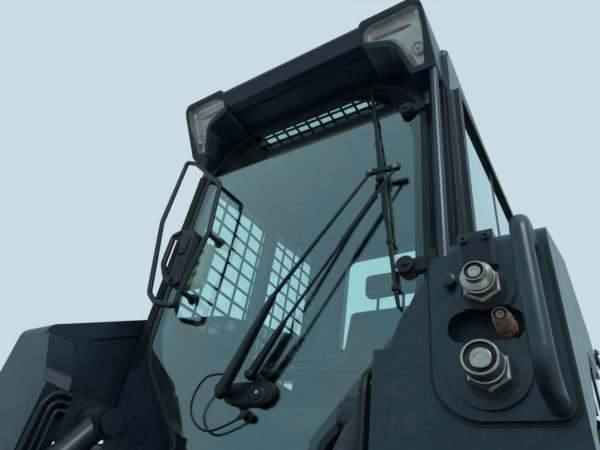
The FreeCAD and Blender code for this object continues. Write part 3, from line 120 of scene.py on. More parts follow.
def modified(obj, kind, **values):
    """Adds a modifier with these values and applies it."""
    pick(obj)
    modifier = obj.modifiers.new(kind.lower(), kind)
    for key, value in values.items():
        setattr(modifier, key, value)
    bpy.ops.object.modifier_apply(modifier=modifier.name)


def move_mesh(obj, at, direction):
    """Turns a piece's +Z to a direction and its origin to a place."""
    turn = Vector(direction).to_track_quat("Z", "Y").to_matrix().to_4x4()
    obj.data.transform(Matrix.Translation(Vector(at)) @ turn)
    obj.data.update()


def stand_up(obj, y):
    """Turns a piece drawn in (x, z) on the XY plane to face the front at y."""
    obj.data.transform(Matrix.Translation((0, y, 0)) @ Matrix.Rotation(math.radians(90), 4, "X"))
    obj.data.update()


def stand_sideways(obj, x):
    """Turns a piece drawn in (y, z) on the XY plane to face the machine's left at x."""
    side_on = Matrix(((0, 0, 1, 0), (1, 0, 0, 0), (0, 1, 0, 0), (0, 0, 0, 1)))
    obj.data.transform(Matrix.Translation((x, 0, 0)) @ side_on)
    obj.data.update()


def turned(name, profile, sides=48):
    """Solid of revolution about Z; profile holds (height, radius) from its foot to its tip."""
    clear_selection()
    height, radius = profile[0]
    bpy.ops.mesh.primitive_circle_add(
        vertices=sides, radius=radius, fill_type="NGON", location=(0, 0, height))
    obj = bpy.context.object
    obj.name = name
    apply_place(obj)
    edit_all()
    for next_height, next_radius in profile[1:]:
        extrude((0, 0, next_height - height))
        ratio = next_radius / radius
        bpy.ops.transform.resize(value=(ratio, ratio, 1), center_override=(0, 0, next_height))
        height, radius = next_height, next_radius
    close_up()
    return obj


def block(name, low, high, bevel, segments=2):
    """Box between two corners with its edges rounded."""
    clear_selection()
    low, high = Vector(low), Vector(high)
    bpy.ops.mesh.primitive_cube_add(size=1, location=(low + high) / 2, scale=high - low)
    obj = bpy.context.object
    obj.name = name
    apply_place(obj)
    edit_all()
    close_up(bevel, segments)
    return obj


def flat_face(name, corners):
    """Flat face with these corners, left open in edit mode and selected."""
    clear_selection()
    bpy.ops.mesh.primitive_circle_add(vertices=len(corners), radius=1, fill_type="NGON")
    obj = bpy.context.object
    obj.name = name
    for vertex, corner in zip(obj.data.vertices, corners):
        vertex.co = corner
    obj.data.update()
    edit_all()
    return obj


def plate(name, outline, depth, bevel, segments=2):
    """Flat plate on the XY plane with this outline, extruded up by depth."""
    obj = flat_face(name, [(x, y, 0) for x, y in outline])
    extrude((0, 0, depth))
    close_up(bevel, segments)
    return obj


def band(name, outline, width, depth):
    """Flat ring inside an outline on the XY plane, extruded up by depth."""
    obj = flat_face(name, [(x, y, 0) for x, y in outline])
    bpy.ops.mesh.inset(thickness=width, depth=0)
    bpy.ops.mesh.delete(type="FACE")
    bpy.ops.mesh.select_all(action="SELECT")
    extrude((0, 0, depth))
    close_up()
    return obj


def bar(name, start, end, sections, bevel):
    """Bar of oblong section from start to end; sections hold (share of the way, width, depth)."""
    start, end = Vector(start), Vector(end)
    length = (end - start).length
    clear_selection()
    share, width, depth = sections[0]
    bpy.ops.mesh.primitive_plane_add(size=1, location=(0, 0, share * length))
    obj = bpy.context.object
    obj.name = name
    obj.scale = (depth, width, 1)
    apply_place(obj)
    edit_all()
    for next_share, next_width, next_depth in sections[1:]:
        extrude((0, 0, (next_share - share) * length))
        bpy.ops.transform.resize(
            value=(next_depth / depth, next_width / width, 1),
            center_override=(0, 0, next_share * length))
        share, width, depth = next_share, next_width, next_depth
    close_up(bevel)
    move_mesh(obj, start, end - start)
    return obj


def round_curve(name, points, radius, steps, roundness=2):
    """Smooth curve near these points with a round section."""
    clear_selection()
    bpy.ops.curve.primitive_nurbs_path_add()
    obj = bpy.context.object
    obj.name = name
    curve = obj.data
    curve.splines.clear()
    spline = curve.splines.new("NURBS")
    spline.points.add(len(points) - 1)
    for point, place in zip(spline.points, points):
        point.co = (*place, 1)
    spline.order_u = 3
    spline.use_endpoint_u = True
    spline.resolution_u = steps
    curve.dimensions = "3D"
    curve.bevel_depth = radius
    curve.bevel_resolution = roundness
    curve.use_fill_caps = True
    return obj


def tube(name, points, radius, roundness=2):
    """Round tube whose centreline is a smooth curve near these points."""
    pick(round_curve(name, points, radius, 6, roundness))
    bpy.ops.object.convert(target="MESH")
    obj = bpy.context.object
    apply_place(obj)
    smooth(obj, 50)
    return obj


def bent(points, bend):
    """Points of a tube with straight runs: each corner gets a point on either side of it."""
    places = [Vector(p) for p in points]
    path = [places[0]]
    for back, here, ahead in zip(places, places[1:], places[2:]):
        into, out = here - back, ahead - here
        path.append(here - into.normalized() * min(bend, into.length * 0.45))
        path.append(here)
        path.append(here + out.normalized() * min(bend, out.length * 0.45))
    return path + [places[-1]]


def rounded(points, segments=8):
    """Outline with its corners turned to arcs; a point is (a, b) or (a, b, radius)."""
    outline = []
    for i, point in enumerate(points):
        here = Vector(point[:2])
        if len(point) == 2:
            outline.append(here)
            continue
        back = (Vector(points[i - 1][:2]) - here).normalized()
        ahead = (Vector(points[(i + 1) % len(points)][:2]) - here).normalized()
        half = back.angle(ahead) / 2
        centre = here + (back + ahead).normalized() * point[2] / math.sin(half)
        first = here + back * point[2] / math.tan(half)
        last = here + ahead * point[2] / math.tan(half)
        sweep = (first - centre).angle_signed(last - centre)
        for step in range(segments + 1):
            arm = (first - centre).copy()
            arm.rotate(Matrix.Rotation(-sweep * step / segments, 2))
            outline.append(centre + arm)
    return [tuple(p) for p in outline]


def joined(name, parts):
    pick(*parts)
    if len(parts) > 1:
        bpy.ops.object.join()
    obj = bpy.context.object
    obj.name = name
    obj.data.name = name
    return obj


def copied(template):
    copy = template.copy()
    copy.data = template.data.copy()
    bpy.context.collection.objects.link(copy)
    return copy


def stamped(name, template, places, direction):
    """Copies of a template at these places, turned to a direction; the template is used up."""
    copies = []
    for place in places:
        copies.append(copied(template))
        move_mesh(copies[-1], place, direction)
    bpy.data.objects.remove(template)
    return joined(name, copies)


def finish_piece(obj, body, material, angle=None):
    """Gives a piece its material and body, and smooths its faces that meet under an angle."""
    if angle:
        smooth(obj, angle)
    obj.data.materials.clear()
    obj.data.materials.append(material)
    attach(obj, body)


def finish_trim(obj, body, angle=None):
    finish_piece(obj, body, TRIM, angle)


def hex_bolt(name, across, height):
    """Hexagon head with a chamfer on a washer, standing on Z 0."""
    corner = across / math.sqrt(3)
    washer = turned(name + "_washer", [
        (0, across * 0.78), (across * 0.1, across * 0.78), (across * 0.12, across * 0.7)], 24)
    head = turned(name, [(0, corner), (height * 0.85, corner), (height, corner * 0.86)], 6)
    bolt = joined(name, [head, washer])
    smooth(bolt, 25)
    return bolt


def make_bolts(name, across, height, places, direction, body, material):
    bolts = stamped(name, hex_bolt(name, across, height), places, direction)
    finish_piece(bolts, body, material)


# Materials


class Finish:
    """A node material under construction, with Object coordinates at hand."""

    def __init__(self, name):
        self.material = bpy.data.materials.new(name)
        self.material.use_nodes = True
        self.tree = self.material.node_tree
        self.shader = self.tree.nodes["Principled BSDF"]
        coords = self.tree.nodes.new("ShaderNodeTexCoord")
        self.place = coords.outputs["Object"]

    def node(self, kind, inputs, **settings):
        """New node with these settings, each of its inputs set to a value or linked to a socket."""
        node = self.tree.nodes.new(kind)
        for key, value in settings.items():
            setattr(node, key, value)
        for key, value in inputs.items():
            if isinstance(value, bpy.types.NodeSocket):
                self.link(value, node.inputs[key])
            else:
                node.inputs[key].default_value = value
        return node

    def link(self, source, target):
        self.tree.links.new(source, target)

    def set(self, **values):
        """Values of the shader's own sockets, spaces in their names written as _."""
        for key, value in values.items():
            self.shader.inputs[key.replace("_", " ")].default_value = value

    def noise(self, scale, detail=4.0, rough=0.5, stretch=(1, 1, 1)):
        mapping = self.node("ShaderNodeMapping", {"Scale": stretch, "Vector": self.place})
        noise = self.node("ShaderNodeTexNoise", {
            "Scale": scale, "Detail": detail, "Roughness": rough,
            "Vector": mapping.outputs["Vector"]})
        return noise.outputs["Fac"]

    def cells(self, scale):
        voronoi = self.node("ShaderNodeTexVoronoi", {"Scale": scale, "Vector": self.place})
        return voronoi.outputs["Distance"]

    def spread(self, source, low, high, out_low=0.0, out_high=1.0):
        """Maps a value's range on to another, clamped."""
        return self.node("ShaderNodeMapRange", {
            "From Min": low, "From Max": high, "To Min": out_low, "To Max": out_high,
            "Value": source}).outputs["Result"]

    def product(self, first, second):
        return self.node("ShaderNodeMath", {0: first, 1: second}, operation="MULTIPLY").outputs[0]

    def height(self, low, high):
        """0 at the lower height and 1 at the upper one, or the other way round."""
        split = self.node("ShaderNodeSeparateXYZ", {0: self.place})
        return self.spread(split.outputs["Z"], low, high)

    def blend(self, factor, first, second):
        """Colour between first and second; either is a colour or a socket."""
        first, second = [(*c, 1) if isinstance(c, tuple) else c for c in (first, second)]
        node = self.node(
            "ShaderNodeMix", {"Factor": factor, "A": first, "B": second}, data_type="RGBA")
        return node.outputs["Result"]

    def colour(self, factor, first, second):
        self.link(self.blend(factor, first, second), self.shader.inputs["Base Color"])

    def mottled(self, source, dark, light, low=0.35, high=0.7):
        """Colour that drifts from dark to light as the source goes from low to high."""
        self.colour(self.spread(source, low, high), dark, light)

    def roughness(self, source, smooth_end, rough_end, low=0.3, high=0.7):
        """Roughness that drifts between its ends as the source goes from low to high."""
        spread = self.spread(source, low, high, smooth_end, rough_end)
        self.link(spread, self.shader.inputs["Roughness"])

    def bump(self, source, strength, distance):
        node = self.node("ShaderNodeBump", {
            "Strength": strength, "Distance": distance, "Height": source})
        self.link(node.outputs["Normal"], self.shader.inputs["Normal"])


DUST = (0.16, 0.15, 0.13)
COOL_HIGHLIGHT = (0.72, 0.9, 1.0, 1)


def paint(name, dark, light, dust, gloss, dirt_top):
    """Machine paint: slight orange peel, soft mottling and dust that gathers towards the floor."""
    f = Finish(name)
    mottle = f.spread(f.noise(3.0, 6.0, 0.6), 0.35, 0.68)
    base = f.blend(mottle, dark, light)
    specks = f.spread(f.noise(60.0, 8.0, 0.7), 0.52, 0.75)
    low = f.spread(f.height(dirt_top, 0.0), 0.0, 1.0, 0.06, 0.75)
    f.colour(f.product(specks, low), base, dust)
    f.roughness(f.noise(14.0, 5.0, 0.6), gloss, gloss + 0.16)
    f.bump(f.noise(420.0, 2.0), 0.12, 0.0004)
    f.set(Coat_Weight=0.12, Coat_Roughness=0.12, Specular_Tint=COOL_HIGHLIGHT)
    return f.material


def worn_steel_paint():
    """Bucket paint, rubbed to bare steel in streaks along the digging direction."""
    f = Finish("bucket_worn_paint")
    streaks = f.noise(9.0, 8.0, 0.7, stretch=(1.0, 0.12, 0.35))
    low = f.spread(f.height(0.5, 0.02), 0.0, 1.0, 0.25, 1.0)
    worn = f.spread(f.product(streaks, low), 0.22, 0.42)
    steel = f.blend(
        f.spread(f.noise(25.0, 6.0), 0.35, 0.7), (0.16, 0.13, 0.11), (0.3, 0.28, 0.26))
    f.colour(worn, (0.02, 0.022, 0.025), steel)
    f.link(f.spread(worn, 0, 1, 0.0, 0.75), f.shader.inputs["Metallic"])
    f.roughness(f.noise(40.0), 0.38, 0.62)
    f.bump(f.noise(70.0, 6.0, 0.6, stretch=(1.0, 0.15, 0.4)), 0.25, 0.001)
    return f.material


def powder_coat():
    f = Finish("trim_powder_coat")
    f.mottled(f.noise(7.0, 5.0), (0.003, 0.006, 0.010), (0.008, 0.013, 0.019))
    f.roughness(f.noise(90.0), 0.36, 0.5)
    f.bump(f.noise(900.0, 3.0), 0.2, 0.0003)
    f.set(Specular_IOR_Level=0.32, Specular_Tint=COOL_HIGHLIGHT)
    return f.material


def tyre_rubber():
    """Black rubber with dried soil in patches."""
    f = Finish("tyre_rubber")
    soil = f.spread(f.noise(18.0, 8.0, 0.7), 0.45, 0.72)
    patches = f.spread(f.noise(4.0, 4.0), 0.3, 0.75, 0.15, 0.8)
    f.colour(f.product(soil, patches), (0.018, 0.018, 0.019), (0.14, 0.12, 0.1))
    f.roughness(f.noise(30.0), 0.68, 0.9)
    f.bump(f.noise(260.0, 5.0, 0.6), 0.3, 0.0008)
    return f.material


def bright_metal(name, dark, light, rough, scratch):
    """Plated or bare metal with fine directional scratches."""
    f = Finish(name)
    f.mottled(f.noise(20.0, 6.0, 0.6), dark, light)
    f.roughness(f.noise(60.0, 4.0, 0.6), rough, rough + 0.15)
    f.bump(f.noise(500.0, 3.0, 0.6, stretch=scratch), 0.12, 0.0003)
    f.set(Metallic=1.0)
    return f.material


def chrome_rod():
    f = Finish("rod_chrome")
    f.colour(f.noise(12.0), (0.62, 0.63, 0.64), (0.8, 0.81, 0.82))
    f.roughness(f.noise(80.0, 6.0, 0.6), 0.05, 0.16, 0.4, 0.75)
    f.set(Metallic=1.0)
    return f.material


def rust():
    f = Finish("coupler_rust")
    f.mottled(f.noise(150.0, 8.0, 0.7), (0.12, 0.06, 0.035), (0.33, 0.24, 0.18), high=0.65)
    f.roughness(f.noise(200.0), 0.6, 0.85)
    f.bump(f.noise(500.0, 6.0), 0.4, 0.0005)
    f.set(Metallic=0.5)
    return f.material


def glass(name, tint, smear, shine):
    """Pane with faint smears; shine is the index of its reflecting coat."""
    f = Finish(name)
    haze = f.spread(f.noise(3.5, 6.0, 0.65, stretch=(1, 1, 0.45)), 0.45, 0.8)
    f.colour(haze, tint, tuple(0.94 * c for c in tint))
    f.roughness(haze, 0.0, smear, 0.0, 1.0)
    f.set(Transmission_Weight=1.0, IOR=1.5, Coat_Weight=1.0, Coat_IOR=shine,
          Coat_Roughness=0.0, Specular_Tint=(0.6, 0.9, 1.0, 1))
    return f.material


def latch_plastic():
    f = Finish("latch_plastic")
    f.mottled(f.noise(28.0, 5.0), (0.30, 0.36, 0.08), (0.52, 0.56, 0.16))
    f.roughness(f.noise(60.0), 0.35, 0.55)
    f.bump(f.noise(400.0, 3.0), 0.1, 0.0003)
    return f.material


def lamp_lens():
    f = Finish("lamp_lens")
    f.mottled(f.noise(9.0, 5.0), (0.97, 0.98, 0.98), (0.9, 0.92, 0.92), low=0.4)
    f.roughness(f.noise(30.0), 0.0, 0.08, 0.4, 0.8)
    f.set(Transmission_Weight=1.0, IOR=1.35)
    return f.material


def red_lens():
    f = Finish("tail_lamp_red")
    ribs = f.node("ShaderNodeTexWave", {"Scale": 60.0, "Vector": f.place}, bands_direction="Z")
    f.colour(f.noise(30.0), (0.32, 0.01, 0.012), (0.5, 0.02, 0.02))
    f.roughness(f.noise(40.0), 0.08, 0.18)
    f.bump(ribs.outputs["Fac"], 0.4, 0.001)
    f.set(Coat_Weight=0.6)
    return f.material


def seat_vinyl():
    f = Finish("seat_vinyl")
    f.mottled(f.noise(6.0, 5.0), (0.02, 0.021, 0.023), (0.045, 0.046, 0.05))
    f.roughness(f.noise(40.0), 0.42, 0.6)
    f.bump(f.cells(380.0), 0.35, 0.0006)
    return f.material


def floor_finish():
    f = Finish("studio_floor")
    f.mottled(f.noise(0.8, 4.0), (0.62, 0.63, 0.63), (0.66, 0.67, 0.67), low=0.3)
    f.set(Roughness=0.85)
    return f.material


NAVY = paint("cab_paint", (0.002, 0.008, 0.018), (0.005, 0.014, 0.028), DUST, 0.24, 1.1)
SLATE = paint("arm_paint", (0.003, 0.011, 0.018), (0.007, 0.018, 0.027), DUST, 0.3, 1.0)
BLACK = paint(
    "frame_paint", (0.003, 0.006, 0.010), (0.007, 0.012, 0.018), (0.16, 0.14, 0.12), 0.34, 0.9)
WORN = worn_steel_paint()
TRIM = powder_coat()
RUBBER = tyre_rubber()
STEEL = bright_metal("bare_steel", (0.24, 0.22, 0.2), (0.42, 0.4, 0.38), 0.34, (1, 0.1, 0.1))
ZINC = bright_metal("zinc_plate", (0.26, 0.25, 0.22), (0.56, 0.55, 0.5), 0.26, (0.2, 1, 1))
REFLECTOR = bright_metal(
    "lamp_reflector", (0.5, 0.49, 0.45), (0.74, 0.72, 0.68), 0.34, (1, 1, 0.2))
CHROME = chrome_rod()
RUST = rust()
TINTED = glass("tinted_glass", (0.82, 0.995, 0.955), 0.03, 1.45)
DOOR_PANE = glass("door_glass", (0.84, 0.995, 0.965), 0.03, 1.6)
LATCH = latch_plastic()
LENS = lamp_lens()
RED = red_lens()
VINYL = seat_vinyl()
RIM = paint("rim_paint", (0.03, 0.033, 0.036), (0.05, 0.054, 0.058), (0.2, 0.18, 0.15), 0.35, 0.9)

FINISH_OF_SLOT = {
    "body_navy": NAVY, "arm_slate": SLATE, "frame_black": BLACK, "trim_black": TRIM,
    "steel_bare": STEEL, "zinc": ZINC, "cylinder_paint": BLACK, "rod_chrome": CHROME,
    "tinted_glass": TINTED, "lamp_lens": LENS, "lamp_red": RED, "seat_vinyl": VINYL,
    "rim_paint": RIM, "tyre_rubber": RUBBER,
}
for part in frame["record"]["subparts"]:
    node = NODES[part["node"]]
    node.data.materials.clear()
    node.data.materials.append(FINISH_OF_SLOT[part["material_slot"]])
NODES["bucket"].data.materials[0] = WORN
NODES["door_glass"].data.materials[0] = DOOR_PANE

# Stage: camera, floor, world and lamps

SKY_LIGHT = 0.62
SKY_LIGHT_SEEN = 0.9
SKY_COLOUR = (0.54, 0.79, 0.89, 1)
SKY_COLOUR_SEEN = (0.66, 0.79, 0.86, 1)


def make_camera():
    heading = math.radians(CAMERA_HEADING)
    pitch = math.radians(CAMERA_PITCH)
    roll = math.radians(CAMERA_ROLL)
    ahead = Vector((
        -math.sin(heading) * math.cos(pitch), math.cos(heading) * math.cos(pitch), math.sin(pitch)))
    level_right = Vector((math.cos(heading), math.sin(heading), 0))
    level_down = ahead.cross(level_right)
    right = math.cos(roll) * level_right + math.sin(roll) * level_down
    down = -math.sin(roll) * level_right + math.cos(roll) * level_down
    data = bpy.data.cameras.new("camera")
    data.sensor_width = 36
    data.lens = FOCAL_PIXELS / IMAGE_WIDTH * data.sensor_width
    data.clip_start = 0.02
    camera = bpy.data.objects.new("camera", data)
    bpy.context.collection.objects.link(camera)
    turn = Matrix((right, -down, -ahead)).transposed().to_4x4()
    camera.matrix_world = Matrix.Translation(CAMERA_AT) @ turn
    bpy.context.scene.camera = camera


def make_floor():
    clear_selection()
    bpy.ops.mesh.primitive_plane_add(size=60, location=(0, 0, -0.001))
    floor = bpy.context.object
    floor.name = "studio_floor"
    floor.data.materials.append(floor_finish())


def make_world():
    """Pale sky, brighter where the camera sees it straight, in gloss or through glass."""
    world = bpy.data.worlds.new("studio_world")
    bpy.context.scene.world = world
    world.use_nodes = True
    nodes, links = world.node_tree.nodes, world.node_tree.links
    background = nodes["Background"]
    path = nodes.new("ShaderNodeLightPath")
    seen = path.outputs["Is Camera Ray"]
    for ray in ("Is Glossy Ray", "Is Transmission Ray"):
        either = nodes.new("ShaderNodeMath")
        either.operation = "MAXIMUM"
        links.new(seen, either.inputs[0])
        links.new(path.outputs[ray], either.inputs[1])
        seen = either.outputs[0]
    strength = nodes.new("ShaderNodeMapRange")
    strength.inputs["To Min"].default_value = SKY_LIGHT
    strength.inputs["To Max"].default_value = SKY_LIGHT_SEEN
    links.new(seen, strength.inputs["Value"])
    links.new(strength.outputs["Result"], background.inputs["Strength"])
    tone = nodes.new("ShaderNodeMix")
    tone.data_type = "RGBA"
    tone.inputs["A"].default_value = SKY_COLOUR
    tone.inputs["B"].default_value = SKY_COLOUR_SEEN
    links.new(path.outputs["Is Camera Ray"], tone.inputs["Factor"])
    links.new(tone.outputs["Result"], background.inputs["Color"])


def add_lamp(name, at, target, size, watts):
    data = bpy.data.lights.new(name, "AREA")
    data.shape = "DISK"
    data.size = size
    data.energy = watts
    lamp = bpy.data.objects.new(name, data)
    bpy.context.collection.objects.link(lamp)
    lamp.location = at
    lamp.visible_camera = False
    lamp.visible_transmission = False
    lamp.rotation_mode = "QUATERNION"
    lamp.rotation_quaternion = (Vector(target) - Vector(at)).to_track_quat("-Z", "Y")
    return lamp


def make_stage():
    bpy.context.scene.view_settings.view_transform = "Standard"
    make_camera()
    make_floor()
    make_world()
    add_lamp("key", (4.5, -4.5, 6.0), (0, -0.3, 1.0), 4.0, 340)
    add_lamp("fill", (-5.0, -2.0, 4.0), (0, 0, 1.0), 4.0, 90).visible_glossy = False
    add_lamp("back", (-3.5, 6.0, 6.0), (0, 0.5, 1.0), 6.0, 220)


make_stage()

# Hose couplers and their pad on the left leg

BOSS_FACE = -0.876
COUPLER_FACE = -0.930
SLOT_FLOOR = -0.846
PAD_FACE = -0.8618
PAD_BLOCK_FACE = -0.886
KNOB_FACE = -0.882

# Name, x, z, sleeve radius, tip radius, seat's y, face's y and nut's width across flats
COUPLERS = (
    ("coupler_upper", 0.609, 0.922, 0.0225, 0.0150, BOSS_FACE, COUPLER_FACE, 0.048),
    ("coupler_drain", 0.630, 0.868, 0.013, 0.0100, SLOT_FLOOR, -0.905, 0.026),
    ("coupler_lower", 0.606, 0.803, 0.0245, 0.0225, BOSS_FACE, COUPLER_FACE, 0.050),
)


def make_coupler(name, x, z, radius, tip, seat_y, face_y, across):
    """Flat-faced coupler: chamfered hexagon, stepped sleeve, bright rim, black seal and poppet."""
    reach = seat_y - face_y
    corner = across / math.sqrt(3)

    def part(suffix, profile, sides=48):
        """Turned part; profile holds (share of the coupler's reach, radius)."""
        return turned(name + suffix, [(reach * share, r) for share, r in profile], sides)

    def seated(piece, material):
        move_mesh(piece, (x, seat_y, z), FRONT)
        finish_piece(piece, "arms", material, 30)

    hexagon = part("_nut", [
        (0, corner * 0.94), (0.03, corner), (0.32, corner), (0.37, corner * 0.88)], 6)
    sleeve = part("_sleeve", [
        (0.3, radius * 0.84), (0.42, radius * 0.84), (0.44, radius), (0.60, radius),
        (0.62, radius * 0.9), (0.66, radius * 0.9), (0.68, radius * 0.98), (0.74, radius * 0.98),
        (0.84, tip), (0.985, tip), (1, tip * 0.95), (1, tip * 0.87),
        (0.84, tip * 0.86), (0.84, tip * 0.46)])
    poppet = part("_poppet", [
        (0.84, tip * 0.58), (0.95, tip * 0.58), (0.965, tip * 0.53),
        (0.965, tip * 0.31), (0.95, tip * 0.29), (0.95, tip * 0.11)])
    coupler = joined(name, [sleeve, hexagon, poppet])
    seated(coupler, RUST if name == "coupler_drain" else ZINC)
    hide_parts("hose_couplers")
    seal = part("_seal", [
        (0.842, tip * 0.855), (0.90, tip * 0.85), (0.91, tip * 0.8),
        (0.89, tip * 0.64), (0.85, tip * 0.59)])
    seated(seal, RUBBER)
    washer = turned(name + "_washer", [
        (0, corner * 1.12), (0.0012, corner * 1.12), (0.0018, corner * 1.06),
        (0.0018, corner * 0.6)])
    seated(washer, TRIM)


def make_pad_screws():
    """Two socket screws on the block over the couplers and the knob's cap."""
    screw = turned("pad_screw", [
        (0, 0.006), (0.005, 0.006), (0.006, 0.005), (0.006, 0.003), (0.003, 0.0028)], 20)
    places = [(x, PAD_BLOCK_FACE, 1.004) for x in (0.590, 0.622)]
    screws = stamped("pad_screws", screw, places, FRONT)
    finish_piece(screws, "arms", BLACK, 35)
    cap = turned("pad_knob", [(0, 0.0105), (0.004, 0.0105), (0.006, 0.008), (0.0065, 0.004)], 28)
    move_mesh(cap, (0.562, KNOB_FACE, 0.943), FRONT)
    finish_piece(cap, "arms", BLACK, 35)


def make_pad_trim():
    """Mat in the drain coupler's slot, cover of the screwed block and a black band round the pad's
    edge.
    """
    mat = plate("pill_liner", rounded([
        (0.556, 0.8485, 0.022), (0.652, 0.8485, 0.022),
        (0.652, 0.8935, 0.022), (0.556, 0.8935, 0.022)]), 0.0015, 0.0005)
    cover = plate("pad_block_cover", rounded([
        (0.5845, 0.957, 0.003), (0.6275, 0.957, 0.003),
        (0.6275, 1.0115, 0.003), (0.5845, 1.0115, 0.003)]), 0.0012, 0.0004)
    # Black band 5.5 mm wide round the pad's outline, 1.2 mm proud of its face
    edge_band = band("pad_seam", rounded([
        (0.5245, 1.001, 0.022), (0.6975, 1.001, 0.014),
        (0.6975, 0.7425, 0.024), (0.5245, 0.7425, 0.066)]), 0.0055, 0.0012)
    for piece, y in ((mat, SLOT_FLOOR), (cover, PAD_BLOCK_FACE), (edge_band, PAD_FACE)):
        stand_up(piece, y)
        finish_trim(piece, "arms")


for row in COUPLERS:
    make_coupler(*row)
make_pad_screws()
make_pad_trim()

# Headlamps in the visor's pods

# x and z of the lens's corners on the left lamp
LENS_OUTLINE = (
    (0.302, 1.968), (0.302, 1.996), (0.335, 2.010), (0.490, 2.012),
    (0.490, 1.940), (0.472, 1.852), (0.438, 1.852), (0.402, 1.944),
)
# The same corners where the bowl's walls end, and round its floor
BOWL_OUTLINE = (
    (0.307, 1.972), (0.307, 1.993), (0.337, 2.005), (0.485, 2.007),
    (0.485, 1.940), (0.468, 1.857), (0.442, 1.857), (0.407, 1.949),
)
FLOOR_OUTLINE = (
    (0.313, 1.976), (0.313, 1.990), (0.340, 2.000), (0.479, 2.001),
    (0.479, 1.940), (0.464, 1.863), (0.447, 1.863), (0.413, 1.955),
)
LENS_RADII = (0.008, 0.012, 0.014, 0.014, 0.060, 0.010, 0.010, 0.070)
# The bowl's rings from its rim inwards, each at a depth behind the pod's face
BOWL_RINGS = (
    (LENS_OUTLINE, 0.008), (BOWL_OUTLINE, 0.030), (BOWL_OUTLINE, 0.0315), (FLOOR_OUTLINE, 0.037),
)
POD_OUTLINE = (
    (0.290, 2.029, 0.022), (0.505, 2.029, 0.034), (0.505, 1.838, 0.016),
    (0.425, 1.838, 0.016), (0.392, 1.928, 0.050), (0.290, 1.955, 0.020),
)
FACE_TOP = Vector((0, -0.790, 2.014))
FACE_LOW = Vector((0, -0.665, 1.838))
FACE_IN = (FACE_LOW - FACE_TOP).cross(Vector((1, 0, 0))).normalized()
if FACE_IN.y < 0:
    FACE_IN.negate()
CAB_FRONT = -0.5865
HOLE_START = -0.010
HOLE_DEPTH = 0.057


def on_face(x, z, depth):
    """Place on the pod's slanted face, at a depth behind it."""
    share = (FACE_TOP.z - z) / (FACE_TOP.z - FACE_LOW.z)
    return Vector((x, FACE_TOP.y + share * (FACE_LOW.y - FACE_TOP.y), z)) + FACE_IN * depth


def lens_ring(corners, side, depth):
    """Outline of the lens's form, at a depth behind the pod's slanted face."""
    outline = rounded([(x, z, radius) for (x, z), radius in zip(corners, LENS_RADII)], 5)
    return [on_face(side * x, z, depth) for x, z in outline]


def make_headlamp(name, side):
    """Stepped reflector bowl with one bulb and a step line across its upper wing."""
    rings = [lens_ring(corners, side, depth) for corners, depth in BOWL_RINGS]
    clear_selection()
    bpy.ops.mesh.primitive_circle_add(vertices=len(rings[0]), radius=1, fill_type="NOTHING")
    bowl = bpy.context.object
    bowl.name = name + "_reflector"
    edit_all()
    for _ in rings[1:]:
        bpy.ops.mesh.extrude_region_move()
    bpy.ops.mesh.edge_face_add()
    bpy.ops.object.mode_set(mode="OBJECT")
    for vertex, place in zip(bowl.data.vertices, [place for ring in rings for place in ring]):
        vertex.co = place
    bowl.data.update()
    if bowl.data.polygons[-1].normal.dot(FACE_IN) > 0:
        edit_all()
        bpy.ops.mesh.flip_normals()
        bpy.ops.object.mode_set(mode="OBJECT")
    modified(bowl, "SOLIDIFY", thickness=0.0012, offset=-1)
    finish_piece(bowl, "chassis", REFLECTOR, 30)
    bulb = turned(name + "_bulb", [
        (0, 0.012), (0.004, 0.019), (0.012, 0.021), (0.013, 0.019), (0.006, 0.012),
        (0.006, 0.006), (0.014, 0.0055), (0.018, 0.003)], 32)
    move_mesh(bulb, on_face(side * 0.458, 1.905, 0.036), -FACE_IN)
    ends = on_face(side * 0.325, 1.981, 0.0325), on_face(side * 0.452, 1.976, 0.0325)
    step = bar(name + "_step", *ends, [
        (0, 0.004, 0.003), (0.06, 0.009, 0.005), (0.8, 0.009, 0.005), (1, 0.004, 0.003)], 0.0012)
    cluster = joined(name + "_bulb", [bulb, step])
    finish_piece(cluster, "chassis", REFLECTOR, 30)


def make_pod(name, side):
    """Lamp pod: rounded block from the slanted face to the cab, with a deep hole for the lamp."""
    pod = flat_face(name, [on_face(side * x, z, 0) for x, z in rounded(POD_OUTLINE, 6)])
    bpy.ops.mesh.extrude_region_move()
    bpy.ops.transform.resize(value=(1, 0, 1), center_override=(0, CAB_FRONT, 0))
    close_up()
    hole = flat_face(name + "_hole", lens_ring(LENS_OUTLINE, side, HOLE_START))
    extrude(tuple(FACE_IN * HOLE_DEPTH))
    close_up()
    modified(pod, "BOOLEAN", operation="DIFFERENCE", object=hole)
    pick(hole)
    bpy.ops.object.delete()
    modified(pod, "BEVEL", width=0.005, segments=3, limit_method="ANGLE",
             angle_limit=math.radians(50))
    return pod


def make_visor():
    """Visor with a rounded front lip between its two lamp pods."""
    lip = plate("visor_lip", rounded([
        (CAB_FRONT, 2.0295), (-0.792, 2.0295, 0.014), (-0.792, 2.006, 0.014),
        (-0.752, 1.973, 0.016), (-0.712, 1.973, 0.010), (-0.698, 1.986, 0.008),
        (-0.625, 1.986, 0.01), (CAB_FRONT, 1.987)], 6), 0.600, 0)
    stand_sideways(lip, -0.300)
    visor = joined("visor_shell", [lip, make_pod("pod_left", 1), make_pod("pod_right", -1)])
    finish_piece(visor, "chassis", NAVY, 32)
    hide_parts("visor")


make_visor()
for word, side in SIDES:
    make_headlamp("headlamp_" + word, side)

# Seat: the backrest and its shell are drawn upright and then leaned

PRESSURE = 4.0
SWELL_FRAMES = 20
CUSHION_GAP = 0.008
CUSHION_REAR = 0.150
CUSHION_TOP = SEAT_LOW.z + 0.098
LEAN = 0.16
LEAN_FROM = 0.97
SHOULDERS_FROM = 1.3
SHOULDER_HEIGHT = 0.3
SHOULDER_TAPER = 0.12
PIPING_RADIUS = 0.0032


